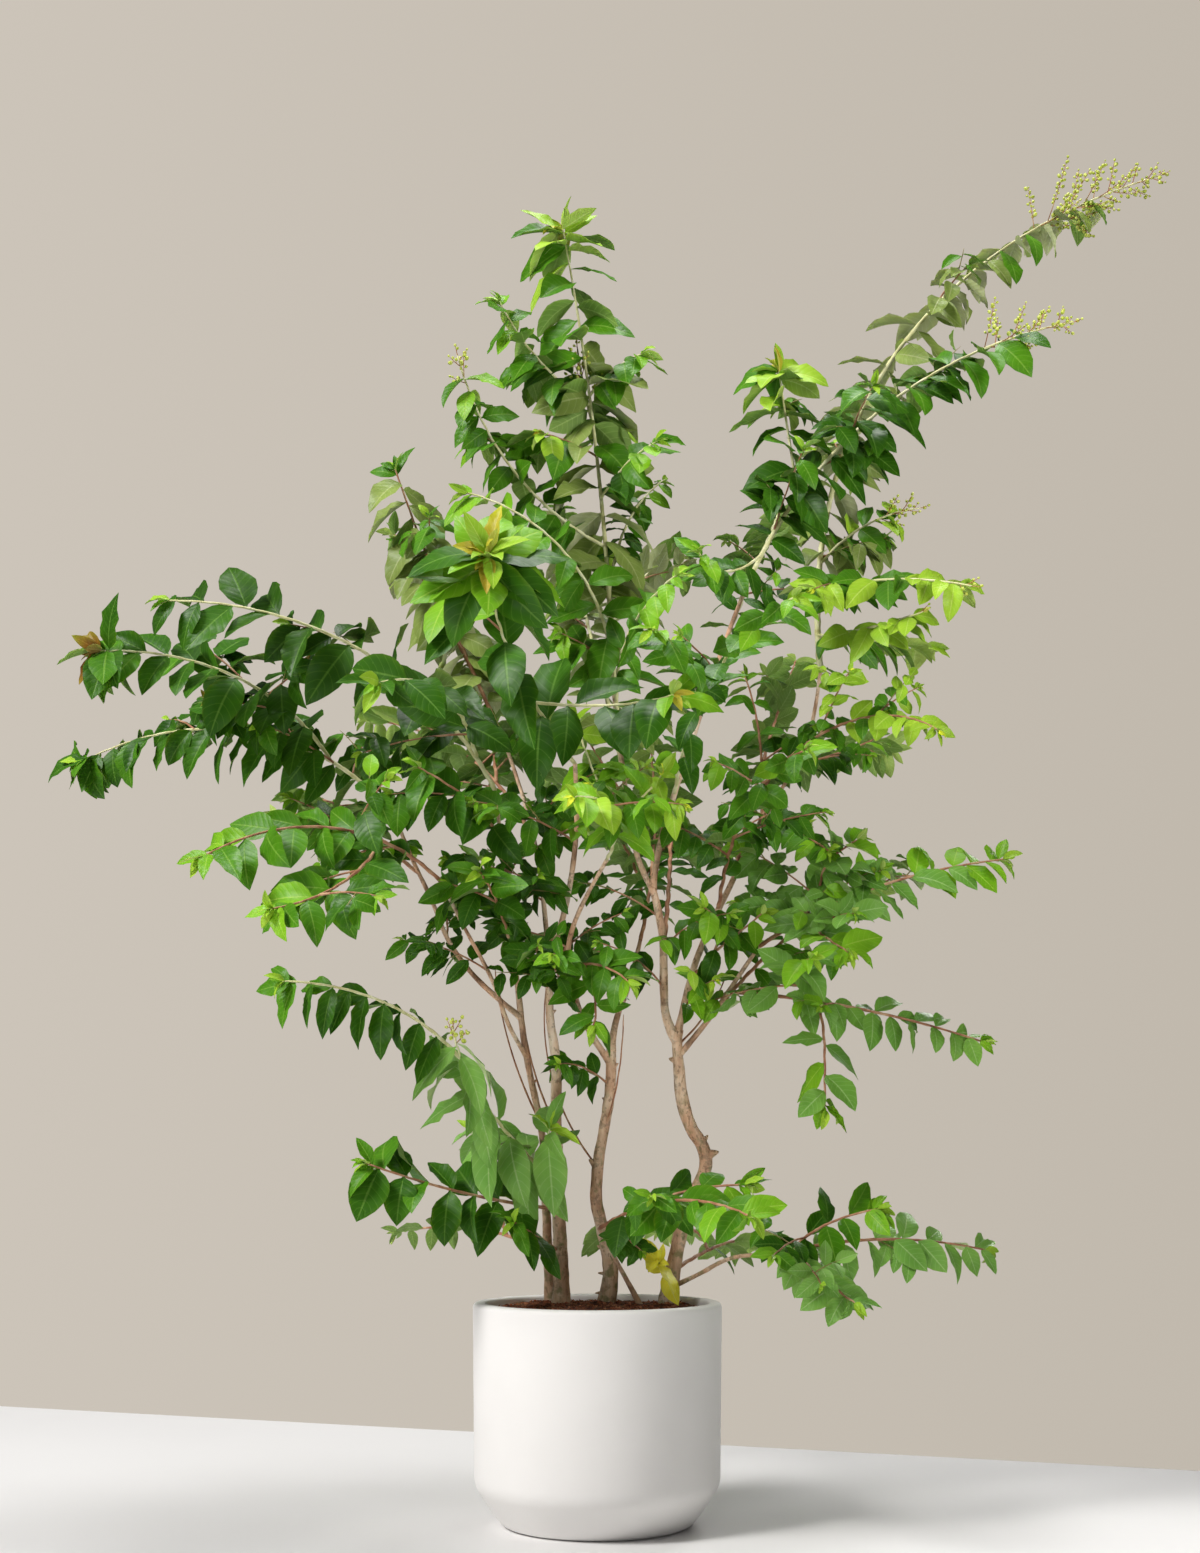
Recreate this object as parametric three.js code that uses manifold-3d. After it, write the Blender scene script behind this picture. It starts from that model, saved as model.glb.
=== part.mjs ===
// Crape myrtle with several stems, growing in a round pot.
// Millimetres, +Z up, origin at the centre of the pot's flat underside, front of the plant towards -Y.
//
// Headings turn in the ground plane: 0 is +X (right), 90 is +Y (back), -90 is the front.
// A rise is measured up from the ground plane. All angles are in degrees.

import * as THREE from 'three';
import { mergeVertices } from 'three/addons/utils/BufferGeometryUtils.js';
import Module from 'manifold-3d';

const wasm = await Module();
wasm.setup();

// ---------- driving dimensions ----------

const CLEARANCE = 0.3; // least gap between two neighbouring solids
const SEAT = 0.45; // how far a limb is cut back from the one that carries it
const SLIVER = 0.05; // faces thinner than this are merged away
const UP = new THREE.Vector3(0, 0, 1);

const POT = {
  height: 237,
  rimRadius: 140,
  waistRadius: 136, // just above the chamfered foot
  waistHeight: 43,
  footRadius: 116, // lower edge of the chamfer
  footHeight: 15,
  baseRadius: 101, // edge of the flat underside
  wall: 15,
  floor: 16,
  edge: 5, // rounding of the rim
  segments: 32,
};
const SOIL_TOP = 230;
const GROUND = SOIL_TOP + CLEARANCE; // where every stem is cut flat

const FLARE = { growth: 0.45, reach: 32 }; // root flare: share of the radius, and its height
const SIDES = { stem: 7, bough: 5, twig: 3 };
const BEND_STEPS = { stem: 3, bough: 2 }; // rings round each bend of a limb
const SHOOT = { base: 2.1, tip: 1.1, walk: 12 }; // radii, and the steps in which growth is worked out
const RING = { bend: 40, length: 300 }; // a shoot has one more ring for each such bend and length

// A pair of numbers is the least and the most of a size that varies by chance.
const TWIG = {
  every: 95,
  first: 0.1, // where twigs begin and end on their shoot, as shares of its length
  last: 0.66,
  long: 105, // length of the first one
  short: 55,
  vary: [0.75, 1.25],
  fork: [40, 90], // angle to the shoot's heading
  follow: 0.5, // how much of the shoot's rise it keeps
  steepest: 60,
  rise: [-20, 30],
  lift: -20,
  base: 1.3,
  tip: 0.9,
  rings: 2,
};
const LEAF = {
  every: 68,
  first: 0.12,
  last: 0.95,
  width: 0.6, // this and the next two as shares of the length
  keel: 0.035,
  arch: 0.1,
  widest: 0.42,
  spread: [43, 67], // angle to a level twig
  upright: 28, // further out where the twig climbs
  droop: [27, 63],
  tilt: [-35, 35], // roll to either side
  spiral: 70, // turn from each leaf to the next round an upright twig
  vary: [0.9, 1.15],
  shrink: 0.3, // how much smaller the leaves are by the tip
  crowd: 0.8, // below 1, the leaves stand closer towards the tip
};
const LAST_LEAF = { at: 0.99, scale: 0.7, droop: [5, 11], reach: 0.6 }; // the leaf that ends a shoot or twig
const BUDS = {
  reach: 130, // length of a shoot's flowering end
  most: 0.6, // of a short shoot's length
  leafless: 0.7,
  every: 22,
  length: 46,
  root: 6,
  width: 11,
  widest: 0.65,
  spread: 45,
  spiral: 137.5,
};
const SEEDS = { twigs: 1000, leaves: 7300 };

// ---------- stems and boughs ----------

// A limb follows its legs, one after the other, in smooth bends.
const leg = (length, heading, rise) => ({ length, heading, rise });

// A stem stands on the soil at its foot; a bough leaves its parent at a share of that limb's length.
const LIMBS = [
  {
    name: 'stem_left',
    foot: [-42, 30],
    radius: [8.6, 4.2],
    legs: [leg(50, 0, 90), leg(160, -127, 86), leg(65, -62, 87), leg(70, -153, 79), leg(55, -45, 84)],
  },
  {
    name: 'stem_rear',
    foot: [-54, 52],
    radius: [5.4, 3],
    legs: [leg(105, -145, 86), leg(90, -123, 87), leg(85, -165, 75), leg(115, -149, 82), leg(65, -148, 82)],
  },
  {
    name: 'stem_centre',
    foot: [10, 45],
    radius: [8.2, 5.6],
    legs: [leg(35, -21, 76), leg(55, -163, 76), leg(45, -158, 75), leg(120, -19, 78), leg(40, -121, 84)],
  },
  {
    name: 'stem_right',
    foot: [79, 40],
    radius: [8.4, 6.6],
    legs: [
      leg(55, 0, 80), leg(65, -12, 73), leg(55, -13, 61),
      leg(55, -173, 54), leg(75, -143, 82), leg(20, -84, 85),
    ],
  },
  {
    name: 'stem_low',
    foot: [50, 8],
    radius: [2.6, 2.1],
    legs: [leg(30, -165, 60), leg(35, -149, 57), leg(40, -135, 53)],
  },
  {
    name: 'bough_left',
    parent: 'stem_rear',
    at: 0.72,
    radius: [3.2, 2.2],
    legs: [
      leg(35, -160, 36), leg(45, -157, 40), leg(50, -159, 52),
      leg(45, -152, 68), leg(60, -165, 62), leg(50, -170, 68),
    ],
  },
  {
    name: 'bough_left_thin',
    parent: 'stem_rear',
    at: 0.62,
    radius: [2.6, 2.1],
    legs: [leg(45, -129, 43), leg(60, -123, 62), leg(80, -132, 49), leg(55, -139, 57)],
  },
  {
    name: 'bough_left_up',
    parent: 'stem_rear',
    at: 1,
    radius: [2.8, 2.2],
    legs: [leg(45, -133, 81), leg(50, -111, 71), leg(50, -101, 60)],
  },
  {
    name: 'bough_front',
    parent: 'stem_left',
    at: 1,
    radius: [3.8, 2.4],
    legs: [leg(40, -31, 66), leg(65, -57, 69), leg(65, -74, 71), leg(60, -100, 71)],
  },
  {
    name: 'bough_left_back',
    parent: 'stem_left',
    at: 0.95,
    radius: [3, 2.2],
    legs: [leg(75, 105, 74), leg(130, 120, 73), leg(100, 149, 67)],
  },
  {
    name: 'bough_centre_left',
    parent: 'stem_centre',
    at: 0.95,
    radius: [3.8, 2.2],
    legs: [leg(45, -158, 49), leg(60, -161, 70), leg(45, -121, 75), leg(60, -58, 54), leg(60, -44, 48)],
  },
  {
    name: 'bough_centre_right',
    parent: 'stem_centre',
    at: 1,
    radius: [4, 2.4],
    legs: [leg(35, 59, 79), leg(50, 40, 60), leg(60, 55, 68)],
  },
  {
    name: 'bough_leader',
    parent: 'stem_right',
    at: 0.99,
    radius: [5, 4.2],
    legs: [leg(25, -156, 53), leg(45, -121, 85), leg(65, -40, 89), leg(50, -179, 75)],
  },
  {
    name: 'bough_leader_centre',
    parent: 'bough_leader',
    at: 0.97,
    radius: [3.4, 2.6],
    legs: [leg(35, 165, 61), leg(45, 159, 77), leg(85, 140, 80), leg(90, 130, 81)],
  },
  {
    name: 'bough_leader_right',
    parent: 'bough_leader',
    at: 1,
    radius: [3.8, 2.4],
    legs: [leg(45, 1, 83), leg(95, -16, 72), leg(90, -10, 71), leg(80, 0, 72), leg(70, 11, 68)],
  },
  {
    name: 'bough_right_mid',
    parent: 'stem_right',
    at: 1,
    radius: [4.4, 2.8],
    legs: [leg(30, 43, 74), leg(85, 40, 70), leg(100, 21, 61), leg(90, 15, 64)],
  },
  {
    name: 'bough_right_fork',
    parent: 'bough_right_mid',
    at: 1,
    radius: [2.6, 2.2],
    legs: [leg(60, 9, 53), leg(60, -8, 64), leg(75, -54, 78)],
  },
  {
    name: 'bough_right',
    parent: 'stem_right',
    at: 0.93,
    radius: [3.4, 2.2],
    legs: [leg(60, -14, 48), leg(55, -18, 55), leg(45, -24, 52)],
  },
  {
    name: 'bough_right_low',
    parent: 'stem_right',
    at: 0.06,
    radius: [2.6, 2.1],
    legs: [leg(40, -10, 24), leg(30, -12, 31), leg(30, -12, 14), leg(25, -10, -5)],
  },
];

// ---------- masses of foliage ----------

// A shoot sets out at a heading and rise, and by its tip has turned and lifted by the last two angles.
// Its first number is the share of its carrier's length where it leaves: of the limb for a mass's first
// shoot, and of that first shoot for the others. The end of a shoot with buds flowers.
const shoot = (at, length, heading, rise, turn, lift) => ({ at, length, heading, rise, turn, lift });
const buds = (...sizes) => ({ ...shoot(...sizes), flowers: true });

// leaf is the length of the mass's leaves, each of which stands for three or four of the living plant's,
// and roll turns their two rows about the shoots.
const MASSES = [
  {
    name: 'foliage_left_upper',
    limb: 'bough_left',
    leaf: 95,
    shoots: [shoot(1, 500, 160, 50, 10, -80), shoot(0.25, 350, -120, 40, -55, -50)],
  },
  {
    name: 'foliage_left_lower',
    limb: 'bough_left_thin',
    leaf: 92,
    shoots: [shoot(1, 340, -135, 35, -20, -75), shoot(0.3, 250, -105, -40, -25, 30)],
  },
  {
    name: 'foliage_left_arch',
    limb: 'bough_left_up',
    leaf: 96,
    shoots: [shoot(1, 490, -130, 50, -50, -55), shoot(0.1, 360, -95, 25, -20, -50)],
  },
  {
    name: 'foliage_left_mid',
    limb: 'bough_left_up',
    leaf: 92,
    shoots: [shoot(0.5, 210, -95, 25, -65, -5)],
  },
  {
    name: 'foliage_left_inner',
    limb: 'stem_rear',
    leaf: 88,
    shoots: [shoot(0.85, 210, -100, 45, -5, -35)],
  },
  {
    name: 'foliage_left_high',
    limb: 'bough_left_back',
    leaf: 88,
    shoots: [shoot(1, 390, -170, 65, 10, 5), shoot(0.05, 400, 150, 65, -25, -20)],
  },
  {
    name: 'foliage_front',
    limb: 'bough_front',
    leaf: 102,
    shoots: [shoot(1, 360, -135, 40, 55, -15), shoot(0.3, 230, -15, -10, -50, 10)],
  },
  {
    name: 'foliage_top',
    limb: 'bough_leader_centre',
    leaf: 95,
    shoots: [
      shoot(1, 650, 165, 88, -5, -9), buds(0.3, 310, -170, 25, 35, 45),
      shoot(0.4, 130, -50, 45, 15, -40), shoot(0.2, 230, 60, 80, -20, -45),
      shoot(0.6, 200, -165, 30, 10, 35), shoot(0.62, 110, -30, 50, 10, -50),
      buds(0.55, 130, 130, 70, 0, 10),
    ],
  },
  {
    name: 'foliage_upper_front',
    limb: 'bough_leader_centre',
    leaf: 92,
    shoots: [shoot(0.85, 390, -100, 85, -90, -75), shoot(0.1, 210, -90, 45, 60, -20)],
  },
  {
    name: 'foliage_centre_front',
    limb: 'bough_centre_left',
    leaf: 90,
    shoots: [
      shoot(1, 240, -70, 30, -65, -45), shoot(0.3, 110, 40, 60, -145, -45), shoot(0.2, 220, 95, 40, 55, 35),
    ],
  },
  {
    name: 'foliage_centre_low',
    limb: 'bough_centre_left',
    leaf: 85,
    shoots: [shoot(0.45, 140, -65, 15, 30, -60), shoot(0.3, 110, -35, -65, -95, 20)],
  },
  {
    name: 'foliage_centre_back',
    limb: 'bough_centre_right',
    leaf: 90,
    shoots: [
      shoot(1, 400, 70, 55, 35, 10), shoot(0.4, 240, 125, 50, 20, 5), shoot(0.1, 360, 95, 50, 25, -40),
    ],
  },
  {
    name: 'foliage_right_tall',
    limb: 'bough_leader_right',
    leaf: 92,
    shoots: [
      buds(1, 540, -25, 65, 25, -55), shoot(0.25, 200, 130, 80, 45, 5), shoot(0.1, 160, -155, -50, 50, 85),
    ],
  },
  {
    name: 'foliage_right_far',
    limb: 'bough_right_fork',
    leaf: 92,
    shoots: [
      buds(1, 920, 25, 95, -30, -80), buds(0.15, 150, -35, 45, 35, -40), buds(0.1, 270, -75, 0, 45, -20),
      buds(0.05, 200, -70, -15, 25, 20), shoot(0.05, 230, 35, 5, 10, 0),
    ],
  },
  {
    name: 'foliage_right_mid',
    limb: 'bough_right_mid',
    leaf: 88,
    shoots: [
      shoot(0.97, 210, 60, 85, 100, -15), shoot(0.2, 300, -30, 50, -25, -90),
      shoot(0.3, 210, 25, 15, 15, 10), shoot(0.1, 170, -50, -35, -20, 10),
    ],
  },
  {
    name: 'foliage_right_inner',
    limb: 'bough_right_mid',
    leaf: 85,
    shoots: [shoot(0.25, 180, -40, 35, -100, -25), shoot(0.3, 100, -45, 25, 10, 10)],
  },
  {
    name: 'foliage_right',
    limb: 'bough_right',
    leaf: 88,
    shoots: [
      shoot(1, 370, 30, 30, -30, -30), shoot(0.25, 190, -110, -15, 65, -15),
      shoot(0.3, 140, -125, 50, 135, -30),
    ],
  },
  {
    name: 'foliage_right_lower',
    limb: 'bough_right',
    leaf: 86,
    roll: -60,
    shoots: [
      shoot(0.6, 320, -25, -5, 25, -15), shoot(0.35, 170, -80, -35, -35, -65),
      shoot(0.35, 150, -140, 30, 95, -30),
    ],
  },
  {
    name: 'foliage_low_right',
    limb: 'bough_right_low',
    leaf: 84,
    shoots: [
      shoot(1, 280, 5, 15, 5, -30), shoot(0.2, 150, -95, -30, 50, 10),
      shoot(0.1, 150, -60, 35, 50, -30),
    ],
  },
  {
    name: 'foliage_low_front',
    limb: 'stem_low',
    leaf: 90,
    shoots: [shoot(1, 350, -60, 20, -5, -35), shoot(0.25, 150, -20, 25, 10, -30)],
  },
  {
    name: 'foliage_low_left',
    limb: 'stem_left',
    leaf: 76,
    roll: 40,
    shoots: [shoot(0.27, 280, -140, 0, -15, 15)],
  },
  {
    name: 'foliage_lower_left',
    limb: 'stem_left',
    leaf: 82,
    roll: 40,
    shoots: [
      buds(0.34, 310, -140, 35, 50, -5), shoot(0.8, 250, -135, 40, -30, -45),
      shoot(0.15, 100, -60, 30, -25, 10),
    ],
  },
  {
    name: 'foliage_foot_left',
    limb: 'stem_left',
    leaf: 80,
    shoots: [shoot(0.15, 140, -120, 20, 10, -5)],
  },
  {
    name: 'foliage_foot_right',
    limb: 'stem_right',
    leaf: 62,
    shoots: [shoot(0.09, 70, -120, 30, 25, -5)],
  },
  {
    name: 'foliage_back_low_left',
    limb: 'stem_rear',
    leaf: 92,
    shoots: [shoot(0.12, 340, 120, 15, 20, -25), shoot(0.3, 260, 100, 15, -20, -25)],
  },
  {
    name: 'foliage_back_low_centre',
    limb: 'stem_centre',
    leaf: 92,
    shoots: [shoot(0.15, 310, 95, 20, -15, -30)],
  },
  {
    name: 'foliage_back_low_right',
    limb: 'stem_right',
    leaf: 92,
    shoots: [shoot(0.12, 350, 60, 15, 15, -25), shoot(0.3, 270, 90, 15, 25, -25)],
  },
  {
    name: 'foliage_back_left',
    limb: 'bough_left_back',
    leaf: 94,
    shoots: [shoot(0.55, 450, 120, 50, 25, -40), shoot(0.3, 360, 100, 50, -20, -35)],
  },
  {
    name: 'foliage_back_left_far',
    limb: 'bough_left',
    leaf: 92,
    shoots: [shoot(0.75, 380, 145, 35, -30, -35), shoot(0.3, 250, 110, 35, 25, -30)],
  },
  {
    name: 'foliage_back_centre',
    limb: 'bough_leader',
    leaf: 92,
    shoots: [shoot(0.6, 550, 80, 55, 20, -40), shoot(0.35, 340, 115, 35, 20, -20)],
  },
  {
    name: 'foliage_back_top',
    limb: 'bough_leader_centre',
    leaf: 94,
    shoots: [shoot(0.6, 560, 120, 70, -25, -30), shoot(0.3, 360, 75, 55, -20, -30)],
  },
  {
    name: 'foliage_back_right',
    limb: 'bough_right_mid',
    leaf: 92,
    shoots: [shoot(0.7, 530, 60, 65, 20, -40), shoot(0.3, 300, 50, 35, -20, -40)],
  },
  {
    name: 'foliage_back_right_top',
    limb: 'bough_leader_right',
    leaf: 92,
    shoots: [shoot(0.75, 450, 60, 55, 20, -25)],
  },
  {
    name: 'foliage_back_right_far',
    limb: 'bough_right',
    leaf: 90,
    shoots: [shoot(0.4, 410, 35, 45, 25, -35)],
  },
  {
    name: 'foliage_front_right',
    limb: 'bough_leader_right',
    leaf: 92,
    shoots: [shoot(0.3, 400, -80, 45, 20, -45), shoot(0.35, 270, -95, 20, -20, -30)],
  },
  {
    name: 'foliage_front_low_right',
    limb: 'bough_right_mid',
    leaf: 88,
    shoots: [shoot(0.55, 360, -85, 45, 20, -45)],
  },
];

// ---------- colours ----------

const finish = (color, roughness) => new THREE.MeshStandardMaterial({ color, roughness, metalness: 0 });
const POT_FINISH = finish(0xf1eeeb, 0.6);
const SOIL_FINISH = finish(0x4a2f22, 0.95);
const BARK_FINISH = finish(0xa98462, 0.85);
const LEAF_FINISH = finish(0x3f7a2e, 0.45);
const YOUNG_FINISH = finish(0x9dbb2f, 0.45);
const YOUNG_MASSES = ['foliage_foot_right', 'foliage_centre_front'];

// ---------- growth ----------

const radians = THREE.MathUtils.degToRad;

/** Seeded random numbers from 0 to 1 (mulberry32). */
const seeded = (seed) => {
  let state = seed;
  return () => {
    state = (state + 0x6d2b79f5) | 0;
    let mixed = Math.imul(state ^ (state >>> 15), 1 | state);
    mixed = (mixed + Math.imul(mixed ^ (mixed >>> 7), 61 | mixed)) ^ mixed;
    return ((mixed ^ (mixed >>> 14)) >>> 0) / 4294967296;
  };
};

const within = ([least, most], random) => least + (most - least) * random();

const direction = (heading, rise) => new THREE.Vector3(
  Math.cos(radians(rise)) * Math.cos(radians(heading)),
  Math.cos(radians(rise)) * Math.sin(radians(heading)),
  Math.sin(radians(rise)),
);

/** Place and direction at a share of a line's length. */
const along = (points, share) => {
  const lengths = points.slice(1).map((point, index) => point.distanceTo(points[index]));
  let rest = share * lengths.reduce((sum, length) => sum + length, 0);
  let index = 0;
  while (index < lengths.length - 1 && rest > lengths[index]) {
    rest -= lengths[index];
    index += 1;
  }
  const tangent = points[index + 1].clone().sub(points[index]).normalize();
  return { point: points[index].clone().addScaledVector(tangent, rest), tangent };
};

/** The legs of a limb, walked from its start and rounded at each bend. */
const limbLine = (start, legs, bendSteps) => {
  const corners = [start];
  for (const { length, heading, rise } of legs) {
    corners.push(corners.at(-1).clone().addScaledVector(direction(heading, rise), length));
  }
  const last = corners.length - 1;
  const middle = (index) => corners[index].clone().lerp(corners[index + 1], 0.5);
  const line = [start];
  for (let index = 1; index < last; index += 1) {
    const from = index === 1 ? corners[0] : middle(index - 1);
    const to = index === last - 1 ? corners[last] : middle(index);
    const bend = new THREE.QuadraticBezierCurve3(from, corners[index], to);
    line.push(...bend.getPoints(bendSteps).slice(1));
  }
  return line;
};

/** A shoot's line: its direction changes evenly from start to tip. */
const shootLine = (start, { length, heading, rise, turn, lift }, rings) => {
  const walked = [start];
  for (let step = 0; step < SHOOT.walk; step += 1) {
    const share = (step + 0.5) / SHOOT.walk;
    const course = direction(heading + turn * share, rise + lift * share);
    walked.push(walked.at(-1).clone().addScaledVector(course, length / SHOOT.walk));
  }
  return Array.from({ length: rings + 1 }, (_, ring) => walked[Math.round((ring * SHOOT.walk) / rings)]);
};

/** The first share of a shoot's growth. */
const cutShort = (growth, share) => ({
  ...growth,
  length: growth.length * share,
  turn: growth.turn * share,
  lift: growth.lift * share,
});

const ringsOf = ({ length, turn, lift }) => (
  Math.max(1, Math.round((Math.abs(turn) + Math.abs(lift)) / RING.bend + length / RING.length))
);

// ---------- solids ----------

/** A geometry as a solid that can be joined and cut. */
const solidOf = (geometry) => {
  geometry.deleteAttribute('normal');
  geometry.deleteAttribute('uv');
  const merged = mergeVertices(geometry, 1e-4);
  return new wasm.Manifold(new wasm.Mesh({
    numProp: 3,
    vertProperties: Float32Array.from(merged.attributes.position.array),
    triVerts: Uint32Array.from(merged.index.array),
  }));
};

/** The largest body of a solid that a cut may have left in several pieces. */
const largest = (solid) => solid.decompose().reduce((a, b) => (a.volume() > b.volume() ? a : b));

/** A closed tube along a line; radiusAt gives its radius at each share of the line's rings. */
const tubeGeometry = (line, radiusAt, sides) => {
  const steps = line.length - 1;
  const geometry = new THREE.CylinderGeometry(1, 1, 1, sides, steps);
  const frames = [];
  let normal = new THREE.Vector3(1, 0.3, 0.2);
  for (let ring = 0; ring <= steps; ring += 1) {
    const tangent = line[Math.min(ring + 1, steps)].clone().sub(line[Math.max(ring - 1, 0)]).normalize();
    normal = normal.clone().addScaledVector(tangent, -normal.dot(tangent)).normalize();
    frames.push({ normal, binormal: new THREE.Vector3().crossVectors(normal, tangent) });
  }
  const { position } = geometry.attributes;
  for (let vertex = 0; vertex < position.count; vertex += 1) {
    const ring = Math.round((position.getY(vertex) + 0.5) * steps);
    const radius = radiusAt(ring / steps);
    const place = line[ring].clone()
      .addScaledVector(frames[ring].normal, position.getX(vertex) * radius)
      .addScaledVector(frames[ring].binormal, position.getZ(vertex) * radius);
    position.setXYZ(vertex, place.x, place.y, place.z);
  }
  return geometry;
};

const taper = (base, tip) => (share) => base + (tip - base) * share;

/** The taper of a twig whose first ring is sunk into the one that carries it. */
const sunkTaper = (base, tip) => (share) => (share === 0 ? base / 3 : taper(base, tip)(share));

/** The same line, drawn out a little at both ends. */
const drawnOut = (line, distance) => {
  const first = line[0].clone().sub(line[1]).setLength(distance).add(line[0]);
  const last = line.at(-1).clone().sub(line.at(-2)).setLength(distance).add(line.at(-1));
  return [first, ...line.slice(1, -1), last];
};

/** A stem's radius, with its root flare. */
const stemRadius = ([base, tip], height) => (share) => {
  const flare = 1 + FLARE.growth * Math.exp((-share * height) / FLARE.reach);
  return taper(base, tip)(share) * flare;
};

/** Cuts a tube's first ring flat at ground level. */
const cutAtGround = (geometry) => {
  const { position } = geometry.attributes;
  for (let vertex = 0; vertex < position.count; vertex += 1) {
    position.setZ(vertex, Math.max(position.getZ(vertex), GROUND));
  }
  return geometry;
};

/** A leaf: flat above and keeled below, with its tip arched down. */
const leafGeometry = ({ root, course, face, length }) => {
  const across = new THREE.Vector3().crossVectors(face, course);
  const corner = (forward, aside, over) => root.clone()
    .addScaledVector(course, forward * length)
    .addScaledVector(across, aside * length)
    .addScaledVector(face, over * length);
  const corners = [
    corner(0, 0, 0),
    corner(LEAF.widest, LEAF.width / 2, 0),
    corner(LEAF.widest, -LEAF.width / 2, 0),
    corner(LEAF.widest, 0, -LEAF.keel),
    corner(1, 0, -LEAF.arch),
  ];
  const [base, left, right, under, tip] = corners.keys();
  const geometry = new THREE.BufferGeometry().setFromPoints(corners);
  geometry.setIndex([
    base, right, left, tip, left, right,
    base, left, under, base, under, right, tip, under, left, tip, right, under,
  ]);
  return geometry;
};

/** A spike of flower buds: a slim body that swells towards its end. */
const budGeometry = (root, course) => {
  const geometry = new THREE.OctahedronGeometry(BUDS.width / 2);
  const { position } = geometry.attributes;
  for (let vertex = 0; vertex < position.count; vertex += 1) {
    const height = position.getZ(vertex) / (BUDS.width / 2);
    const share = height < 0 ? 0 : BUDS.widest + (1 - BUDS.widest) * height;
    position.setZ(vertex, BUDS.length * share);
  }
  const turn = new THREE.Quaternion().setFromUnitVectors(UP, course);
  return geometry.applyQuaternion(turn).translate(root.x, root.y, root.z);
};

// ---------- what is already placed ----------

const placed = []; // every solid so far, with the sub-part that owns it

const boxOf = (solid) => {
  const { min, max } = solid.boundingBox();
  return new THREE.Box3(new THREE.Vector3(...min), new THREE.Vector3(...max));
};

const place = (owner, solid) => placed.push({ owner, solid, box: boxOf(solid) });

/** Whether a solid keeps its clearance to everything that other sub-parts own. */
const isClear = (owner, solid) => {
  const box = boxOf(solid).expandByScalar(CLEARANCE);
  return !placed.some((other) => other.owner !== owner
    && other.box.intersectsBox(box)
    && other.solid.minGap(solid, 2 * CLEARANCE) < CLEARANCE);
};

// ---------- pot and soil ----------

const lathe = (profile) => new THREE.LatheGeometry(profile.getPoints(2), POT.segments).rotateX(Math.PI / 2);

const potGeometry = () => {
  const { rimRadius, height, edge, wall } = POT;
  const profile = new THREE.Path();
  profile.moveTo(0, 0);
  profile.lineTo(POT.baseRadius, 0);
  profile.quadraticCurveTo(POT.baseRadius + 9, 1, POT.footRadius, POT.footHeight);
  profile.lineTo(POT.waistRadius, POT.waistHeight);
  profile.lineTo(rimRadius, height - edge);
  profile.quadraticCurveTo(rimRadius, height, rimRadius - edge, height);
  profile.lineTo(rimRadius - wall + edge / 2, height);
  profile.quadraticCurveTo(rimRadius - wall, height, rimRadius - wall, height - edge / 2);
  profile.lineTo(POT.waistRadius - wall, POT.waistHeight);
  profile.lineTo(POT.footRadius - wall, POT.floor);
  profile.lineTo(0, POT.floor);
  return lathe(profile);
};

const soilGeometry = () => {
  const gap = POT.wall + CLEARANCE * 2;
  const profile = new THREE.Path();
  profile.moveTo(0, POT.floor + CLEARANCE);
  profile.lineTo(POT.footRadius - gap, POT.floor + CLEARANCE);
  profile.lineTo(POT.waistRadius - gap, POT.waistHeight);
  profile.lineTo(POT.rimRadius - gap, SOIL_TOP);
  profile.lineTo(0, SOIL_TOP);
  return lathe(profile);
};

place('pot', solidOf(potGeometry()));
place('soil', solidOf(soilGeometry()));

// ---------- limbs ----------

const limbs = new Map();

/** Cuts a solid back from the limbs that it starts in or passes. */
const cutFromLimbs = (solid) => {
  const box = boxOf(solid);
  let rest = solid;
  for (const limb of limbs.values()) {
    if (boxOf(limb.envelope).intersectsBox(box)) rest = rest.subtract(limb.envelope);
  }
  return largest(rest);
};

const addLimb = ({ name, foot, parent, at, radius, legs }) => {
  const start = foot ? new THREE.Vector3(...foot, GROUND) : along(limbs.get(parent).line, at).point;
  const line = limbLine(start, legs, foot ? BEND_STEPS.stem : BEND_STEPS.bough);
  const length = legs.reduce((sum, part) => sum + part.length, 0);
  const radiusAt = foot ? stemRadius(radius, length) : taper(...radius);
  const sides = foot ? SIDES.stem : SIDES.bough;
  const geometry = tubeGeometry(line, radiusAt, sides);
  const solid = cutFromLimbs(solidOf(foot ? cutAtGround(geometry) : geometry));
  const envelope = solidOf(tubeGeometry(drawnOut(line, SEAT), (share) => radiusAt(share) + SEAT, sides));
  limbs.set(name, { line, envelope });
  place(name, solid);
};

LIMBS.forEach(addLimb);

// ---------- foliage ----------

/** Where a leaf sits: its root on a twig's line, its course, and the side that it turns up. */
const leafPlace = ({ point, tangent }, { side, turned, roll, length, droop }, random) => {
  const level = new THREE.Vector3().crossVectors(tangent, UP).normalize();
  const over = new THREE.Vector3().crossVectors(level, tangent);
  const row = level.clone().multiplyScalar(Math.cos(turned)).addScaledVector(over, Math.sin(turned));
  const spread = radians(within(LEAF.spread, random) + LEAF.upright * tangent.z) * side;
  const sag = Math.sin(radians(within(droop, random)));
  const course = tangent.clone().multiplyScalar(Math.cos(spread)).addScaledVector(row, Math.sin(spread))
    .addScaledVector(UP, -sag).normalize();
  const tilt = roll + radians(within(LEAF.tilt, random));
  const face = UP.clone().multiplyScalar(Math.cos(tilt)).addScaledVector(level, -Math.sin(tilt));
  face.addScaledVector(course, -face.dot(course)).normalize();
  return { root: point, course, face, length };
};

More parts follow.
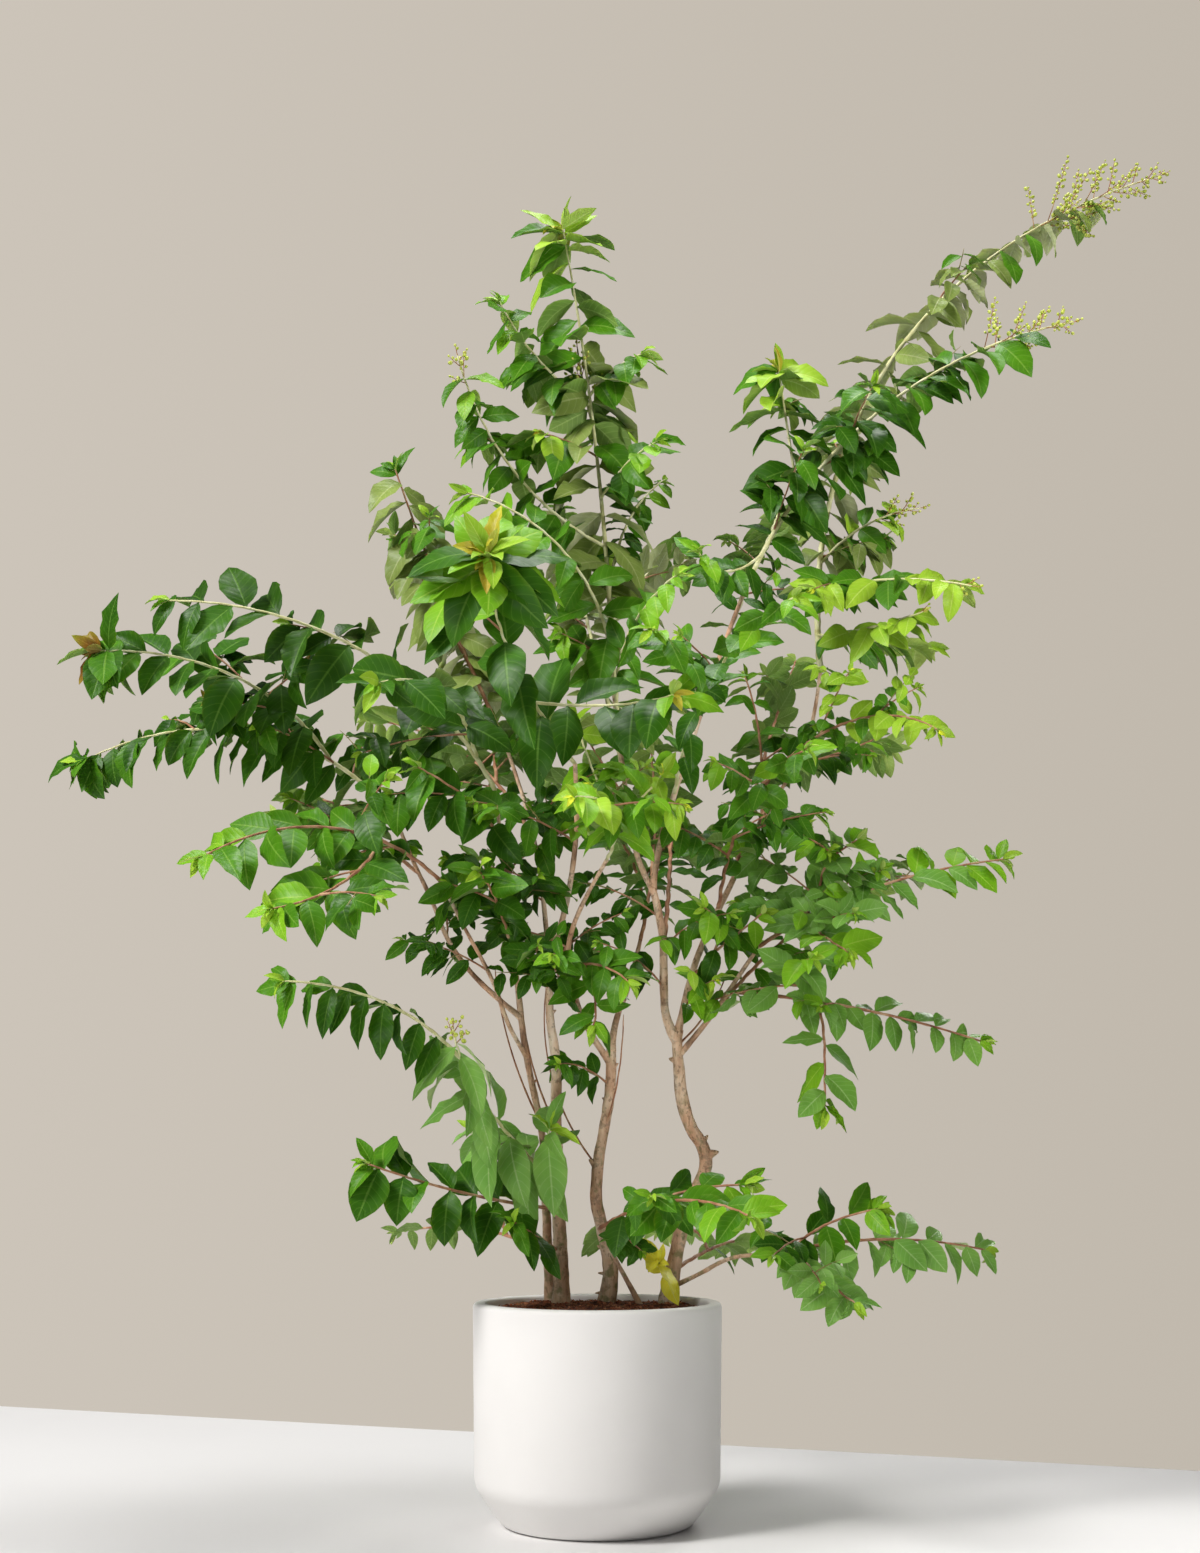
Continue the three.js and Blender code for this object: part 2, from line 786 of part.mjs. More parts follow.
/** The leaves along a line, in turn on its two sides, and one at its tip unless it flowers there. */
const leafPlaces = (line, { length, flowers }, mass, random) => {
  const roll = radians(mass.roll ?? 0);
  const last = flowers ? Math.max(1 - BUDS.leafless, 1 - BUDS.reach / length) : LEAF.last;
  const count = Math.max(1, Math.round((length * (last - LEAF.first)) / LEAF.every));
  const places = [];
  for (let number = 0; number < count; number += 1) {
    const share = LEAF.first + (last - LEAF.first) * ((number + 0.5) / count) ** LEAF.crowd;
    const at = along(line, share);
    const turned = roll + number * radians(LEAF.spiral) * at.tangent.z ** 2;
    const scale = (1 - LEAF.shrink * share ** 2) * within(LEAF.vary, random);
    const set = { side: number % 2 ? 1 : -1, turned, roll, length: mass.leaf * scale, droop: LEAF.droop };
    places.push(leafPlace(at, set, random));
  }
  const end = { side: 0, turned: roll, roll, length: mass.leaf * LAST_LEAF.scale, droop: LAST_LEAF.droop };
  return flowers ? places : [...places, leafPlace(along(line, LAST_LEAF.at), end, random)];
};

/** The side twigs of a shoot: shorter towards its tip, and spread to all sides. */
const twigsOf = (line, { length, heading, rise }, random) => {
  const count = Math.floor((length * (TWIG.last - TWIG.first)) / TWIG.every);
  return Array.from({ length: count }, (_, number) => {
    const share = TWIG.first + (TWIG.last - TWIG.first) * ((number + random()) / count);
    const side = number % 2 ? 1 : -1;
    return {
      start: along(line, share).point,
      growth: {
        length: (TWIG.long + (TWIG.short - TWIG.long) * share) * within(TWIG.vary, random),
        heading: heading + side * within(TWIG.fork, random),
        rise: Math.min(rise, TWIG.steepest) * TWIG.follow + within(TWIG.rise, random),
        turn: 0,
        lift: TWIG.lift,
      },
    };
  });
};

/** The buds at the flowering end of a shoot. */
const budsOf = (line, length) => {
  const count = Math.floor(Math.min(BUDS.reach, BUDS.most * length) / BUDS.every);
  return Array.from({ length: count }, (_, number) => {
    const { point, tangent } = along(line, 1 - (number * BUDS.every + BUDS.root) / length);
    const level = new THREE.Vector3().crossVectors(tangent, UP).normalize();
    const outward = level.applyAxisAngle(tangent, radians(BUDS.spiral * number));
    const spread = number ? radians(BUDS.spread) : 0;
    const course = tangent.clone().multiplyScalar(Math.cos(spread))
      .addScaledVector(outward, Math.sin(spread));
    return budGeometry(point, course);
  });
};

/** How much of a shoot's length is its last leaf or spike of buds. */
const tipLength = ({ length, flowers }, mass) => (
  flowers ? BUDS.length - BUDS.root : Math.min(mass.leaf * LAST_LEAF.reach, length / 2)
);

/** Places a mass's shoots: the first is seated on its limb, and the others leave from that one. */
const addShoots = (mass) => {
  mass.lines = [];
  for (const growth of mass.shoots) {
    const carrier = mass.lines.length ? mass.lines[0].line : limbs.get(mass.limb).line;
    const start = along(carrier, growth.at).point;
    const stalk = cutShort(growth, 1 - tipLength(growth, mass) / growth.length);
    const line = shootLine(start, stalk, ringsOf(stalk));
    const leader = mass.lines.length === 0;
    const radiusAt = (leader ? taper : sunkTaper)(SHOOT.base, SHOOT.tip);
    const whole = solidOf(tubeGeometry(line, radiusAt, SIDES.twig));
    const solid = leader ? cutFromLimbs(whole) : whole;
    if (isClear(mass.name, solid)) {
      mass.lines.push({ line, growth: stalk });
      place(mass.name, solid);
    }
  }
};

const addTwigs = (mass, index) => {
  mass.twigs = [];
  mass.lines.forEach(({ line, growth }, number) => {
    const random = seeded(SEEDS.twigs * (index + 1) + number);
    for (const twig of twigsOf(line, growth, random)) {
      const twigLine = shootLine(twig.start, twig.growth, TWIG.rings);
      const solid = solidOf(tubeGeometry(twigLine, sunkTaper(TWIG.base, TWIG.tip), SIDES.twig));
      if (isClear(mass.name, solid)) {
        mass.twigs.push({ line: twigLine, growth: twig.growth });
        place(mass.name, solid);
      }
    }
  });
};

const addLeaves = (mass, index) => {
  const random = seeded(SEEDS.leaves + index);
  const placeIfClear = (geometry) => {
    const solid = solidOf(geometry);
    if (isClear(mass.name, solid)) place(mass.name, solid);
  };
  for (const { line, growth } of mass.lines) {
    leafPlaces(line, growth, mass, random).map(leafGeometry).forEach(placeIfClear);
    if (growth.flowers) budsOf(line, growth.length).forEach(placeIfClear);
  }
  for (const { line, growth } of mass.twigs) {
    leafPlaces(line, growth, mass, random).map(leafGeometry).forEach(placeIfClear);
  }
};

MASSES.forEach(addShoots);
MASSES.forEach(addTwigs);
MASSES.forEach(addLeaves);

// ---------- the scene ----------

/** A solid as a named mesh. */
const meshOf = (name, solid, material) => {
  const { vertProperties, triVerts } = solid.getMesh();
  const geometry = new THREE.BufferGeometry();
  geometry.setAttribute('position', new THREE.BufferAttribute(vertProperties, 3));
  geometry.setIndex(new THREE.BufferAttribute(triVerts, 1));
  const mesh = new THREE.Mesh(geometry, material);
  mesh.name = name;
  return mesh;
};

/** Everything that a sub-part owns, joined into one body without slivers. */
const ownedBy = (name) => largest(
  wasm.Manifold.union(placed.filter(({ owner }) => owner === name).map(({ solid }) => solid)),
).simplify(SLIVER);

const plant = new THREE.Group();
plant.name = 'crape_myrtle';
plant.add(meshOf('pot', ownedBy('pot'), POT_FINISH));
plant.add(meshOf('soil', ownedBy('soil'), SOIL_FINISH));
for (const name of limbs.keys()) plant.add(meshOf(name, ownedBy(name), BARK_FINISH));
for (const { name } of MASSES) {
  plant.add(meshOf(name, ownedBy(name), YOUNG_MASSES.includes(name) ? YOUNG_FINISH : LEAF_FINISH));
}

export default plant;
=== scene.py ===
"""The looks of a crape myrtle in a white pot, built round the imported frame: the bark, twigs, leaves and
flower buds grow by the rule of the part's own solids, and are carried to finer twigs within their reach."""
from collections import defaultdict, namedtuple
from math import cos, exp, floor, pi, radians, sin
from random import Random
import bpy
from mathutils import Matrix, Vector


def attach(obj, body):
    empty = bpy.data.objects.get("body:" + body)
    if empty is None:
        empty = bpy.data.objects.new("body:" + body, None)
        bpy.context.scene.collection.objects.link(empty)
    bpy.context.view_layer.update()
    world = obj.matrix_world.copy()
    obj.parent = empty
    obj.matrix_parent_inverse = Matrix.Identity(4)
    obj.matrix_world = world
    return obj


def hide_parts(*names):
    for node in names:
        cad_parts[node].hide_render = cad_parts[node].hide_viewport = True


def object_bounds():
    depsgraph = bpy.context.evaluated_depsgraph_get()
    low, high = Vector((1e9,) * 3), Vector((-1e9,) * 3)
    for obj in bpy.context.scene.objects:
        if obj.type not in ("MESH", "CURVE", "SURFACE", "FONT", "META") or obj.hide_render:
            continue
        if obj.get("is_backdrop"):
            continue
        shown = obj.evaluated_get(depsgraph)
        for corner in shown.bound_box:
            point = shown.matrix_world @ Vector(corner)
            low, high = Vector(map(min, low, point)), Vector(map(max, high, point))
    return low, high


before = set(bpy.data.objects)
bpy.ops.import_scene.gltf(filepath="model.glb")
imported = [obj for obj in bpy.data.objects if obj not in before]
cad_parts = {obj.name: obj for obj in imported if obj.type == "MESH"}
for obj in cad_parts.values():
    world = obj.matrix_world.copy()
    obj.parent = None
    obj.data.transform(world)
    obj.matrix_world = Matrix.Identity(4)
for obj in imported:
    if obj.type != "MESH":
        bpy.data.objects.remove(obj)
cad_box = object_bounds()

from types import SimpleNamespace as Measures

import bmesh
import bpy
import numpy as np
from mathutils import Vector, noise

BODY = "root"
MM = 0.001  # the tables are in millimetres and degrees, and the meshes in metres
UP, ASIDE = np.array((0.0, 0.0, 1.0)), np.array((1.0, 0.0, 0.0))
UPRIGHT = 0.9  # the least rise, as a sine, of what counts as upright
SEED = 4100
GOLDEN_ANGLE = 137.5
MOST_LEAVES = 1500  # in one piece

# ---------- the plant's tables ----------

# A limb starts from a foot on the ground, or at a share of its parent's length. Each of its legs has a
# length, a heading and a rise.
Limb = namedtuple("Limb", "name start at radii legs")

# A shoot turns and lifts evenly on its way. Flowers is the reach of the panicle at its tip, rosette the
# number of leaves round the tip, and bare the share without leaves. Size, fill and hang go on its mass's.
Shoot = namedtuple(
    "Shoot", "at length heading rise turn lift flowers rosette look bare size fill hang",
    defaults=(0, 0, "", 0, 1, 1, 0),
)

# A mass is the foliage of one limb: the length and look of its leaves, the wood of its shoots, how full it
# is of twigs, and how close, hanging and broad its leaves are. Its first shoot carries the others.
Mass = namedtuple("Mass", "name limb leaf look wood shoots fill close hang broad", defaults=(1, 1, 0, 1))


def buds(reach, *sizes, **manners):
    """A shoot whose last reach is a spray of flower buds."""
    return Shoot(*sizes, flowers=reach, **manners)


MASSES = [
    Mass("left_upper", "bough_left", 72, "dark", "cream", [
        Shoot(1, 485, 160, 50, 10, -80, rosette=8, look="deep", size=0.84, hang=16, fill=1.2),
        Shoot(0.25, 350, -120, 40, -55, -50, rosette=9, look="bronze", size=0.94),
    ], close=1.3, broad=1.15),
    Mass("left_lower", "bough_left_thin", 60, "mid", "red", [
        Shoot(1, 340, -135, 35, -20, -75), Shoot(0.3, 250, -105, -40, -25, 30),
    ], fill=0.9, broad=1.12),
    Mass("left_arch", "bough_left_up", 74, "dark", "cream", [
        Shoot(1, 490, -130, 50, -50, -55), Shoot(0.1, 360, -95, 25, -20, -50, size=0.85),
    ], fill=0.3, close=0.88, broad=1.12),
    Mass("left_mid", "bough_left_up", 64, "deep", "red", [
        Shoot(0.5, 210, -95, 25, -65, -5),
    ], fill=0.8, broad=1.15),
    Mass("left_inner", "stem_rear", 56, "deep", "red", [Shoot(0.85, 210, -100, 45, -5, -35)], broad=1.1),
    Mass("left_high", "bough_left_back", 66, "dusty", "red", [
        Shoot(1, 405, -170, 65, 10, 5), Shoot(0.05, 400, 150, 65, -25, -20, size=0.9, fill=0.5),
    ], fill=0.6, close=1.5, hang=22, broad=1.1),
    Mass("front", "bough_front", 98, "amber", "cream", [
        Shoot(1, 360, -135, 40, 55, -15, rosette=12), Shoot(0.3, 230, -15, -10, -50, 10, size=0.8),
    ], fill=0.5, close=1.05),
    Mass("top", "bough_leader_centre", 72, "grey", "cream", [
        Shoot(1, 668, 165, 88, -5, -9, rosette=6, bare=0.16, size=1.14, fill=1.2),
        buds(45, 0.3, 310, -170, 25, 35, 45, look="fresh", size=0.72),
        Shoot(0.4, 130, -50, 45, 15, -40, look="mid", size=0.7, fill=0.5),
        Shoot(0.2, 230, 60, 80, -20, -45, look="mid", size=0.45, fill=0.3),
        Shoot(0.6, 200, -165, 30, 10, 35, look="fresh", size=0.75),
        Shoot(0.62, 110, -30, 50, 10, -50, look="fresh", size=0.7),
        buds(90, 0.55, 130, 130, 70, 0, 10, look="fresh"),
    ], fill=0.6, close=1.65, hang=6, broad=1.12),
    Mass("upper_front", "bough_leader_centre", 62, "fresh", "cream", [
        Shoot(0.85, 390, -100, 85, -90, -75), Shoot(0.1, 210, -90, 45, 60, -20, size=0.75),
    ], fill=0.4, close=1.1),
    Mass("centre_front", "bough_centre_left", 50, "young", "cream", [
        Shoot(1, 240, -70, 30, -65, -45), Shoot(0.3, 110, 40, 60, -145, -45),
        Shoot(0.2, 220, 95, 40, 55, 35),
    ]),
    Mass("centre_low", "bough_centre_left", 46, "fresh", "red", [
        Shoot(0.45, 140, -65, 15, 30, -60), Shoot(0.3, 110, -35, -65, -95, 20),
    ]),
    Mass("centre_back", "bough_centre_right", 42, "mid", "red", [
        Shoot(1, 400, 70, 55, 35, 10), Shoot(0.4, 240, 125, 50, 20, 5),
        Shoot(0.1, 360, 95, 50, 25, -40),
    ], fill=0.35, broad=1.15),
    Mass("right_tall", "bough_leader_right", 64, "deep", "cream", [
        buds(125, 1, 540, -25, 65, 25, -55), Shoot(0.25, 200, 130, 80, 45, 5, rosette=7, look="gold"),
        Shoot(0.1, 160, -155, -50, 50, 85, look="mid", size=0.75, fill=0.5),
    ], fill=0.8, close=1.45, broad=1.12),
    Mass("right_far", "bough_right_fork", 64, "dusty", "cream", [
        buds(200, 1, 920, 25, 95, -30, -80),
        buds(60, 0.15, 150, -35, 45, 35, -40, look="spring", size=0.75, hang=-16),
        buds(26, 0.1, 270, -75, 0, 45, -20, look="spring", size=0.8, hang=-20),
        buds(20, 0.05, 200, -70, -15, 25, 20, look="spring", size=0.75, hang=-16),
        Shoot(0.05, 230, 35, 5, 10, 0, look="spring", size=0.75, hang=-16),
    ], fill=0.4, close=1.5, hang=16),
    Mass("right_mid", "bough_right_mid", 38, "mid", "red", [
        Shoot(0.97, 210, 60, 85, 100, -15), Shoot(0.2, 300, -30, 50, -25, -90, look="spring"),
        Shoot(0.3, 210, 25, 15, 15, 10), Shoot(0.1, 170, -50, -35, -20, 10),
    ], broad=1.1),
    Mass("right_inner", "bough_right_mid", 40, "mid", "red", [
        Shoot(0.25, 180, -40, 35, -100, -25), Shoot(0.3, 100, -45, 25, 10, 10),
    ], fill=0.6, broad=1.15),
    Mass("right", "bough_right", 52, "cool", "red", [
        Shoot(1, 370, 30, 33, -30, -28), Shoot(0.25, 190, -110, -15, 65, -15),
        Shoot(0.3, 140, -125, 50, 135, -30),
    ], fill=1.2, close=1.15, hang=-22, broad=1.15),
    Mass("right_lower", "bough_right", 48, "cool", "red", [
        Shoot(0.6, 320, -25, -5, 25, -15, bare=0.24, size=0.82, fill=0.6),
        Shoot(0.35, 170, -80, -35, -35, -65, bare=0.3, size=1.05, fill=0),
        Shoot(0.35, 150, -140, 30, 95, -30),
    ], broad=1.2),
    Mass("low_right", "bough_right_low", 46, "pale", "red", [
        Shoot(1, 280, 5, 15, 5, -30), Shoot(0.2, 150, -95, -30, 50, 10, fill=0.5),
        Shoot(0.1, 150, -60, 35, 50, -30, look="mid"),
    ], fill=0.8, close=0.9, broad=1.15),
    Mass("low_front", "stem_low", 50, "mid", "red", [
        Shoot(1, 350, -60, 20, -5, -35), Shoot(0.25, 150, -20, 25, 10, -30),
    ], fill=0.4, close=0.85, broad=1.1),
    Mass("low_left", "stem_left", 62, "deep", "red", [
        Shoot(0.27, 280, -140, 5, -15, 15),
    ], fill=0.15, close=1.2, hang=-8, broad=1.25),
    Mass("lower_left", "stem_left", 82, "pale", "cream", [
        buds(38, 0.34, 310, -140, 35, 50, -5),
        Shoot(0.8, 250, -135, 40, -30, -45, look="deep", size=0.64, fill=0.3),
        Shoot(0.15, 100, -60, 30, -25, 10),
    ], fill=0.6, close=1.5, hang=38, broad=0.84),
    Mass("foot_left", "stem_left", 44, "deep", "red", [Shoot(0.15, 140, -120, 20, 10, -5)], fill=0.4),
    Mass("foot_right", "stem_right", 46, "yellow", "cream", [Shoot(0.09, 70, -120, 30, 25, -5)], close=1.3),
    Mass("back_low_left", "stem_rear", 34, "deep", "red", [
        Shoot(0.12, 340, 120, 15, 20, -25, bare=0.45), Shoot(0.3, 260, 100, 15, -20, -25, bare=0.4),
    ], fill=0, close=0.5),
    Mass("back_low_centre", "stem_centre", 40, "deep", "red", [
        Shoot(0.15, 310, 95, 20, -15, -30, bare=0.4),
    ], fill=0.2),
    Mass("back_low_right", "stem_right", 40, "mid", "red", [
        Shoot(0.12, 350, 60, 15, 15, -25, bare=0.3), Shoot(0.3, 270, 90, 15, 25, -25, bare=0.4),
    ], fill=0.2, close=0.7),
    Mass("back_left", "bough_left_back", 52, "mid", "red", [
        Shoot(0.55, 450, 120, 50, 25, -40), Shoot(0.3, 360, 100, 50, -20, -35),
    ], broad=1.1),
    Mass("back_left_far", "bough_left", 50, "mid", "red", [
        Shoot(0.75, 380, 145, 35, -30, -35), Shoot(0.3, 250, 110, 35, 25, -30),
    ], fill=0.6, broad=1.1),
    Mass("back_centre", "bough_leader", 44, "deep", "red", [
        Shoot(0.6, 550, 80, 55, 20, -40), Shoot(0.35, 340, 115, 35, 20, -20),
    ], fill=0.2, broad=1.1),
    Mass("back_top", "bough_leader_centre", 46, "dusty", "cream", [
        Shoot(0.6, 560, 120, 70, -25, -30), Shoot(0.3, 360, 75, 55, -20, -30),
    ], fill=0.5),
    Mass("back_right", "bough_right_mid", 46, "mid", "red", [
        Shoot(0.7, 530, 60, 65, 20, -40), Shoot(0.3, 300, 50, 35, -20, -40),
    ], fill=0.5),
    Mass("back_right_top", "bough_leader_right", 44, "mid", "cream", [
        Shoot(0.75, 450, 60, 55, 20, -25),
    ], fill=0.6),
    Mass("back_right_far", "bough_right", 44, "fresh", "red", [Shoot(0.4, 410, 35, 45, 25, -35)], fill=0.4),
    Mass("front_right", "bough_leader_right", 50, "mid", "cream", [
        Shoot(0.3, 400, -80, 45, 20, -45), Shoot(0.35, 270, -95, 20, -20, -30, size=0.85, fill=0.5),
    ], fill=0.4),
    Mass("front_low_right", "bough_right_mid", 42, "mid", "red", [
        Shoot(0.55, 360, -85, 45, 20, -45),
    ], broad=1.1),
]

LIMBS = [
    Limb("stem_left", (-42, 30), 0, (8.6, 4.2), [
        (50, 0, 90), (160, -127, 86), (65, -62, 87), (70, -153, 79), (55, -45, 84),
    ]),
    Limb("stem_rear", (-54, 52), 0, (5.4, 3), [
        (105, -145, 86), (90, -123, 87), (85, -165, 75), (115, -149, 82), (65, -148, 82),
    ]),
    Limb("stem_centre", (10, 45), 0, (8.2, 5.6), [
        (35, -21, 76), (55, -163, 76), (45, -158, 75), (120, -19, 78), (40, -121, 84),
    ]),
    Limb("stem_right", (79, 40), 0, (8.4, 6.6), [
        (55, 0, 80), (65, -12, 73), (55, -13, 61), (55, -173, 54), (75, -143, 82), (20, -84, 85),
    ]),
    Limb("stem_low", (50, 8), 0, (2.6, 2.1), [(30, -165, 60), (35, -149, 57), (40, -135, 53)]),
    Limb("bough_left", "stem_rear", 0.72, (3.2, 2.2), [
        (35, -160, 36), (45, -157, 40), (50, -159, 52), (45, -152, 68), (60, -165, 62), (50, -170, 68),
    ]),
    Limb("bough_left_thin", "stem_rear", 0.62, (2.6, 2.1), [
        (45, -129, 43), (60, -123, 62), (80, -132, 49), (55, -139, 57),
    ]),
    Limb("bough_left_up", "stem_rear", 1, (2.8, 2.2), [(45, -133, 81), (50, -111, 71), (50, -101, 60)]),
    Limb("bough_front", "stem_left", 1, (3.8, 2.4), [
        (40, -31, 66), (65, -57, 69), (65, -74, 71), (60, -100, 71),
    ]),
    Limb("bough_left_back", "stem_left", 0.95, (3, 2.2), [(75, 105, 74), (130, 120, 73), (100, 149, 67)]),
    Limb("bough_centre_left", "stem_centre", 0.95, (3.8, 2.2), [
        (45, -158, 49), (60, -161, 70), (45, -121, 75), (60, -58, 54), (60, -44, 48),
    ]),
    Limb("bough_centre_right", "stem_centre", 1, (4, 2.4), [(35, 59, 79), (50, 40, 60), (60, 55, 68)]),
    Limb("bough_leader", "stem_right", 0.99, (5, 4.2), [
        (25, -156, 53), (45, -121, 85), (65, -40, 89), (50, -179, 75),
    ]),
    Limb("bough_leader_centre", "bough_leader", 0.97, (3.4, 2.6), [
        (35, 165, 61), (45, 159, 77), (85, 140, 80), (90, 130, 81),
    ]),
    Limb("bough_leader_right", "bough_leader", 1, (3.8, 2.4), [
        (45, 1, 83), (95, -16, 72), (90, -10, 71), (80, 0, 72), (70, 11, 68),
    ]),
    Limb("bough_right_mid", "stem_right", 1, (4.4, 2.8), [
        (30, 43, 74), (85, 40, 70), (100, 21, 61), (90, 15, 64),
    ]),
    Limb("bough_right_fork", "bough_right_mid", 1, (2.6, 2.2), [(60, 9, 53), (60, -8, 64), (75, -54, 78)]),
    Limb("bough_right", "stem_right", 0.93, (3.4, 2.2), [(60, -14, 48), (55, -18, 55), (45, -24, 52)]),
    Limb("bough_right_low", "stem_right", 0.06, (2.6, 2.1), [
        (40, -10, 24), (30, -12, 31), (30, -12, 14), (25, -10, -5),
    ]),
]

LOOKS = {  # a mass's tones: old leaves, grown ones, new ones, young ones and the youngest
    "dark": "dark dark deep light young",
    "deep": "deep deep mid light young",
    "mid": "deep mid light young young",
    "fresh": "mid mid light young young",
    "dusty": "dusty dusty mid mid young",
    "young": "mid light young lime young",
    "yellow": "yellow yellow yellow yellow yellow",
    "bronze": "dark deep mid bronze bronze",
    "amber": "deep deep light amber young",
    "gold": "deep mid young amber young",
    "grey": "dusty mid young amber young",
    "spring": "mid young young lime young",
    "cool": "cool cool light young young",
    "pale": "pale pale pale young young",
}

TONES = {  # upper side and underside, each as colour, shade and vein, and the record's slot
    "dark": ("30590a 224806 608a32", "7a944e 667f3e 98ae6a", "leaves"),
    "deep": ("3b6c10 2a580a 719c3e", "7a9a4c 66843c 98b468", "leaves"),
    "mid": ("528a16 3d740e 88b248", "8cae56 769844 aac870", "leaves"),
    "cool": ("7cae46 629638 aed084", "b0c886 9ab472 c6d8a2", "leaves"),
    "pale": ("8abc56 70a446 b6d48e", "bcd094 a6be80 ced8ac", "leaves"),
    "light": ("80b622 68a21a acd052", "aeca68 98b856 c6dc86", "leaves"),
    "dusty": ("8a9e4e 768a40 b6c084", "c4ca9a b0b886 d2d8b2", "leaves"),
    "young": ("a4cc36 88b42c cbe270", "bcd66c a6c258 d6e898", "young_leaves"),
    "lime": ("e8f036 d2e02e f6f88c", "e8f068 d4e056 f4f69a", "young_leaves"),
    "bronze": ("8a9426 945e28 c09a48", "a49a4c 9a703c c4ac70", "young_leaves"),
    "amber": ("c6cc34 b49c34 e0dc74", "ced05e bca64c e2de90", "young_leaves"),
    # yellow: the young leaves' own colour, painted far brighter than leaves are as painted light, for leaves
    # that grow in shade low on a stem
    "yellow": ("fff84c f6ec3c ffff9c", "fffa80 f6ec6c ffffb4", "young_leaves"),
}

SPURS = [  # stubs of old twigs: limb, share of its length, heading, rise, length from its middle, radius
    ("stem_right", 0.555, -5, 15, 15.5, 5.2),
    ("stem_right", 0.6, 5, 50, 12.5, 3.2),
    ("stem_right", 0.915, 175, 15, 10.5, 4.6),
    ("stem_right", 0.985, -15, 62, 15, 3.4),
    ("stem_right", 0.3, -100, 30, 11, 3.6),
    ("stem_centre", 0.93, -15, 35, 10.5, 2.6),
    ("stem_centre", 0.8, 175, 30, 8.5, 2.4),
    ("stem_centre", 0.54, -170, 40, 13, 4.2),
    ("stem_centre", 0.2, 178, 35, 15, 2.8),
    ("stem_centre", 0.12, -165, 5, 14, 2.4),
    ("stem_centre", 0.05, 175, -5, 15, 2.4),
    ("stem_left", 0.13, -20, 35, 11, 3),
    ("stem_left", 0.62, 165, 40, 9, 2.8),
    ("stem_left", 0.83, -10, 30, 8.5, 2.6),
    ("stem_rear", 0.34, -160, 30, 8, 2.4),
    ("stem_rear", 0.55, 15, 40, 7.5, 2.2),
]

SPRIGS = [  # leafy twigs straight on the limbs: the limb, the leaves' length and look, and the growth
    ("bough_centre_left", 40, "deep", Shoot(0.3, 110, -120, 30, 30, -20)),
    ("bough_centre_left", 44, "deep", Shoot(0.55, 120, 160, 30, -30, -30)),
    ("stem_left", 46, "deep", Shoot(0.9, 120, -110, 35, 30, -30)),
    ("stem_left", 42, "deep", Shoot(0.97, 110, -20, 50, 30, -30)),
    ("bough_front", 50, "mid", Shoot(0.3, 130, 170, 35, 20, -30)),
    ("bough_front", 54, "mid", Shoot(0.6, 140, -160, 30, 20, -30)),
    ("bough_left_back", 46, "deep", Shoot(0.3, 130, -170, 35, 20, -30)),
    ("bough_left_back", 46, "deep", Shoot(0.6, 130, -60, 40, 20, -30)),
    ("stem_rear", 48, "deep", Shoot(0.95, 120, -60, 40, -20, -30)),
    ("bough_left_up", 52, "mid", Shoot(0.3, 120, -20, 40, -20, -30)),
    ("bough_left_thin", 48, "deep", Shoot(0.5, 120, 170, 35, -20, -30)),
    ("bough_left", 48, "mid", Shoot(0.45, 130, 100, 40, -20, -30)),
    ("bough_leader", 46, "deep", Shoot(0.35, 110, -130, 40, -20, -30)),
    ("bough_leader", 46, "fresh", Shoot(0.6, 120, -60, 30, 20, -30)),
    ("bough_leader", 40, "deep", Shoot(0.8, 120, 150, 40, 20, -30)),
    ("bough_right_mid", 40, "young", Shoot(0.1, 80, -70, 40, 20, -30)),
    ("bough_centre_right", 40, "deep", Shoot(0.7, 110, 170, 40, 20, -30)),
    ("stem_centre", 44, "deep", Shoot(0.86, 90, -150, 40, 30, -50)),
    ("stem_low", 34, "deep", Shoot(0.85, 70, -60, 20, 20, -60)),
]

BARE_TWIGS = [  # thin twigs low on the stems: the limb that carries each, and its growth
    ("stem_centre", Shoot(0.54, 235, 180, 50, 10, 50)),
    ("stem_left", Shoot(0.5, 150, 150, 60, 20, 25)),
    ("stem_rear", Shoot(0.45, 190, -170, 62, -20, 22)),
    ("stem_right", Shoot(0.97, 120, 20, 40, 30, 20)),
    ("stem_centre", Shoot(0.7, 140, -60, 50, -20, 30)),
]

TWIG_COLORS = {  # shade, colour and highlight
    "red": ("8a5a44", "b07c5c", "cca482"),
    "green": ("6c6836", "94894e", "b8b078"),
    "cream": ("c4c080", "e0dea6", "f4f2cc"),
    "flower_stalk": ("9a5638", "b4784a", "c8b070"),
}

# ---------- what the growth is measured in ----------

GROUND = 230.3  # height of the soil at the stems
POT_INSIDE = 124.9  # radius of the pot's opening at the soil
BEND_STEPS = 12
WALK_STEPS = 36
TANGENT_REACH = 2
CAPS = Measures(foot=0.01, tip=0.7)  # a tube's bulging ends: shares of its first step and last radius
BARK = Measures(
    ring=3.2, sides=20, sunk=9, flare=0.45, flare_height=32, lobes=0.13, lobe_count=3, lobe_turn=5,
    collar=0.5, collar_length=2.4,
)
RELIEF = (  # of the bark: the size of its lumps, how short they are along z, and their height
    (17, 0.45, 0.15), (6.5, 0.45, 0.1), (1.9, 0.16, 0.04),
)
SPUR = Measures(radii=(1.6, 1.5, 1.35, 1.15, 0.95, 0.8, 0.66, 0.5, 0.28), sides=12)
SHOOT_WOOD = Measures(base=1.4, thicken=0.0026, tip=0.95, ring=7, sides=8, sway=0.9)
TWIG_WOOD = Measures(base=1.3, thicken=0, tip=0.65, ring=8, sides=6, sway=0.6)
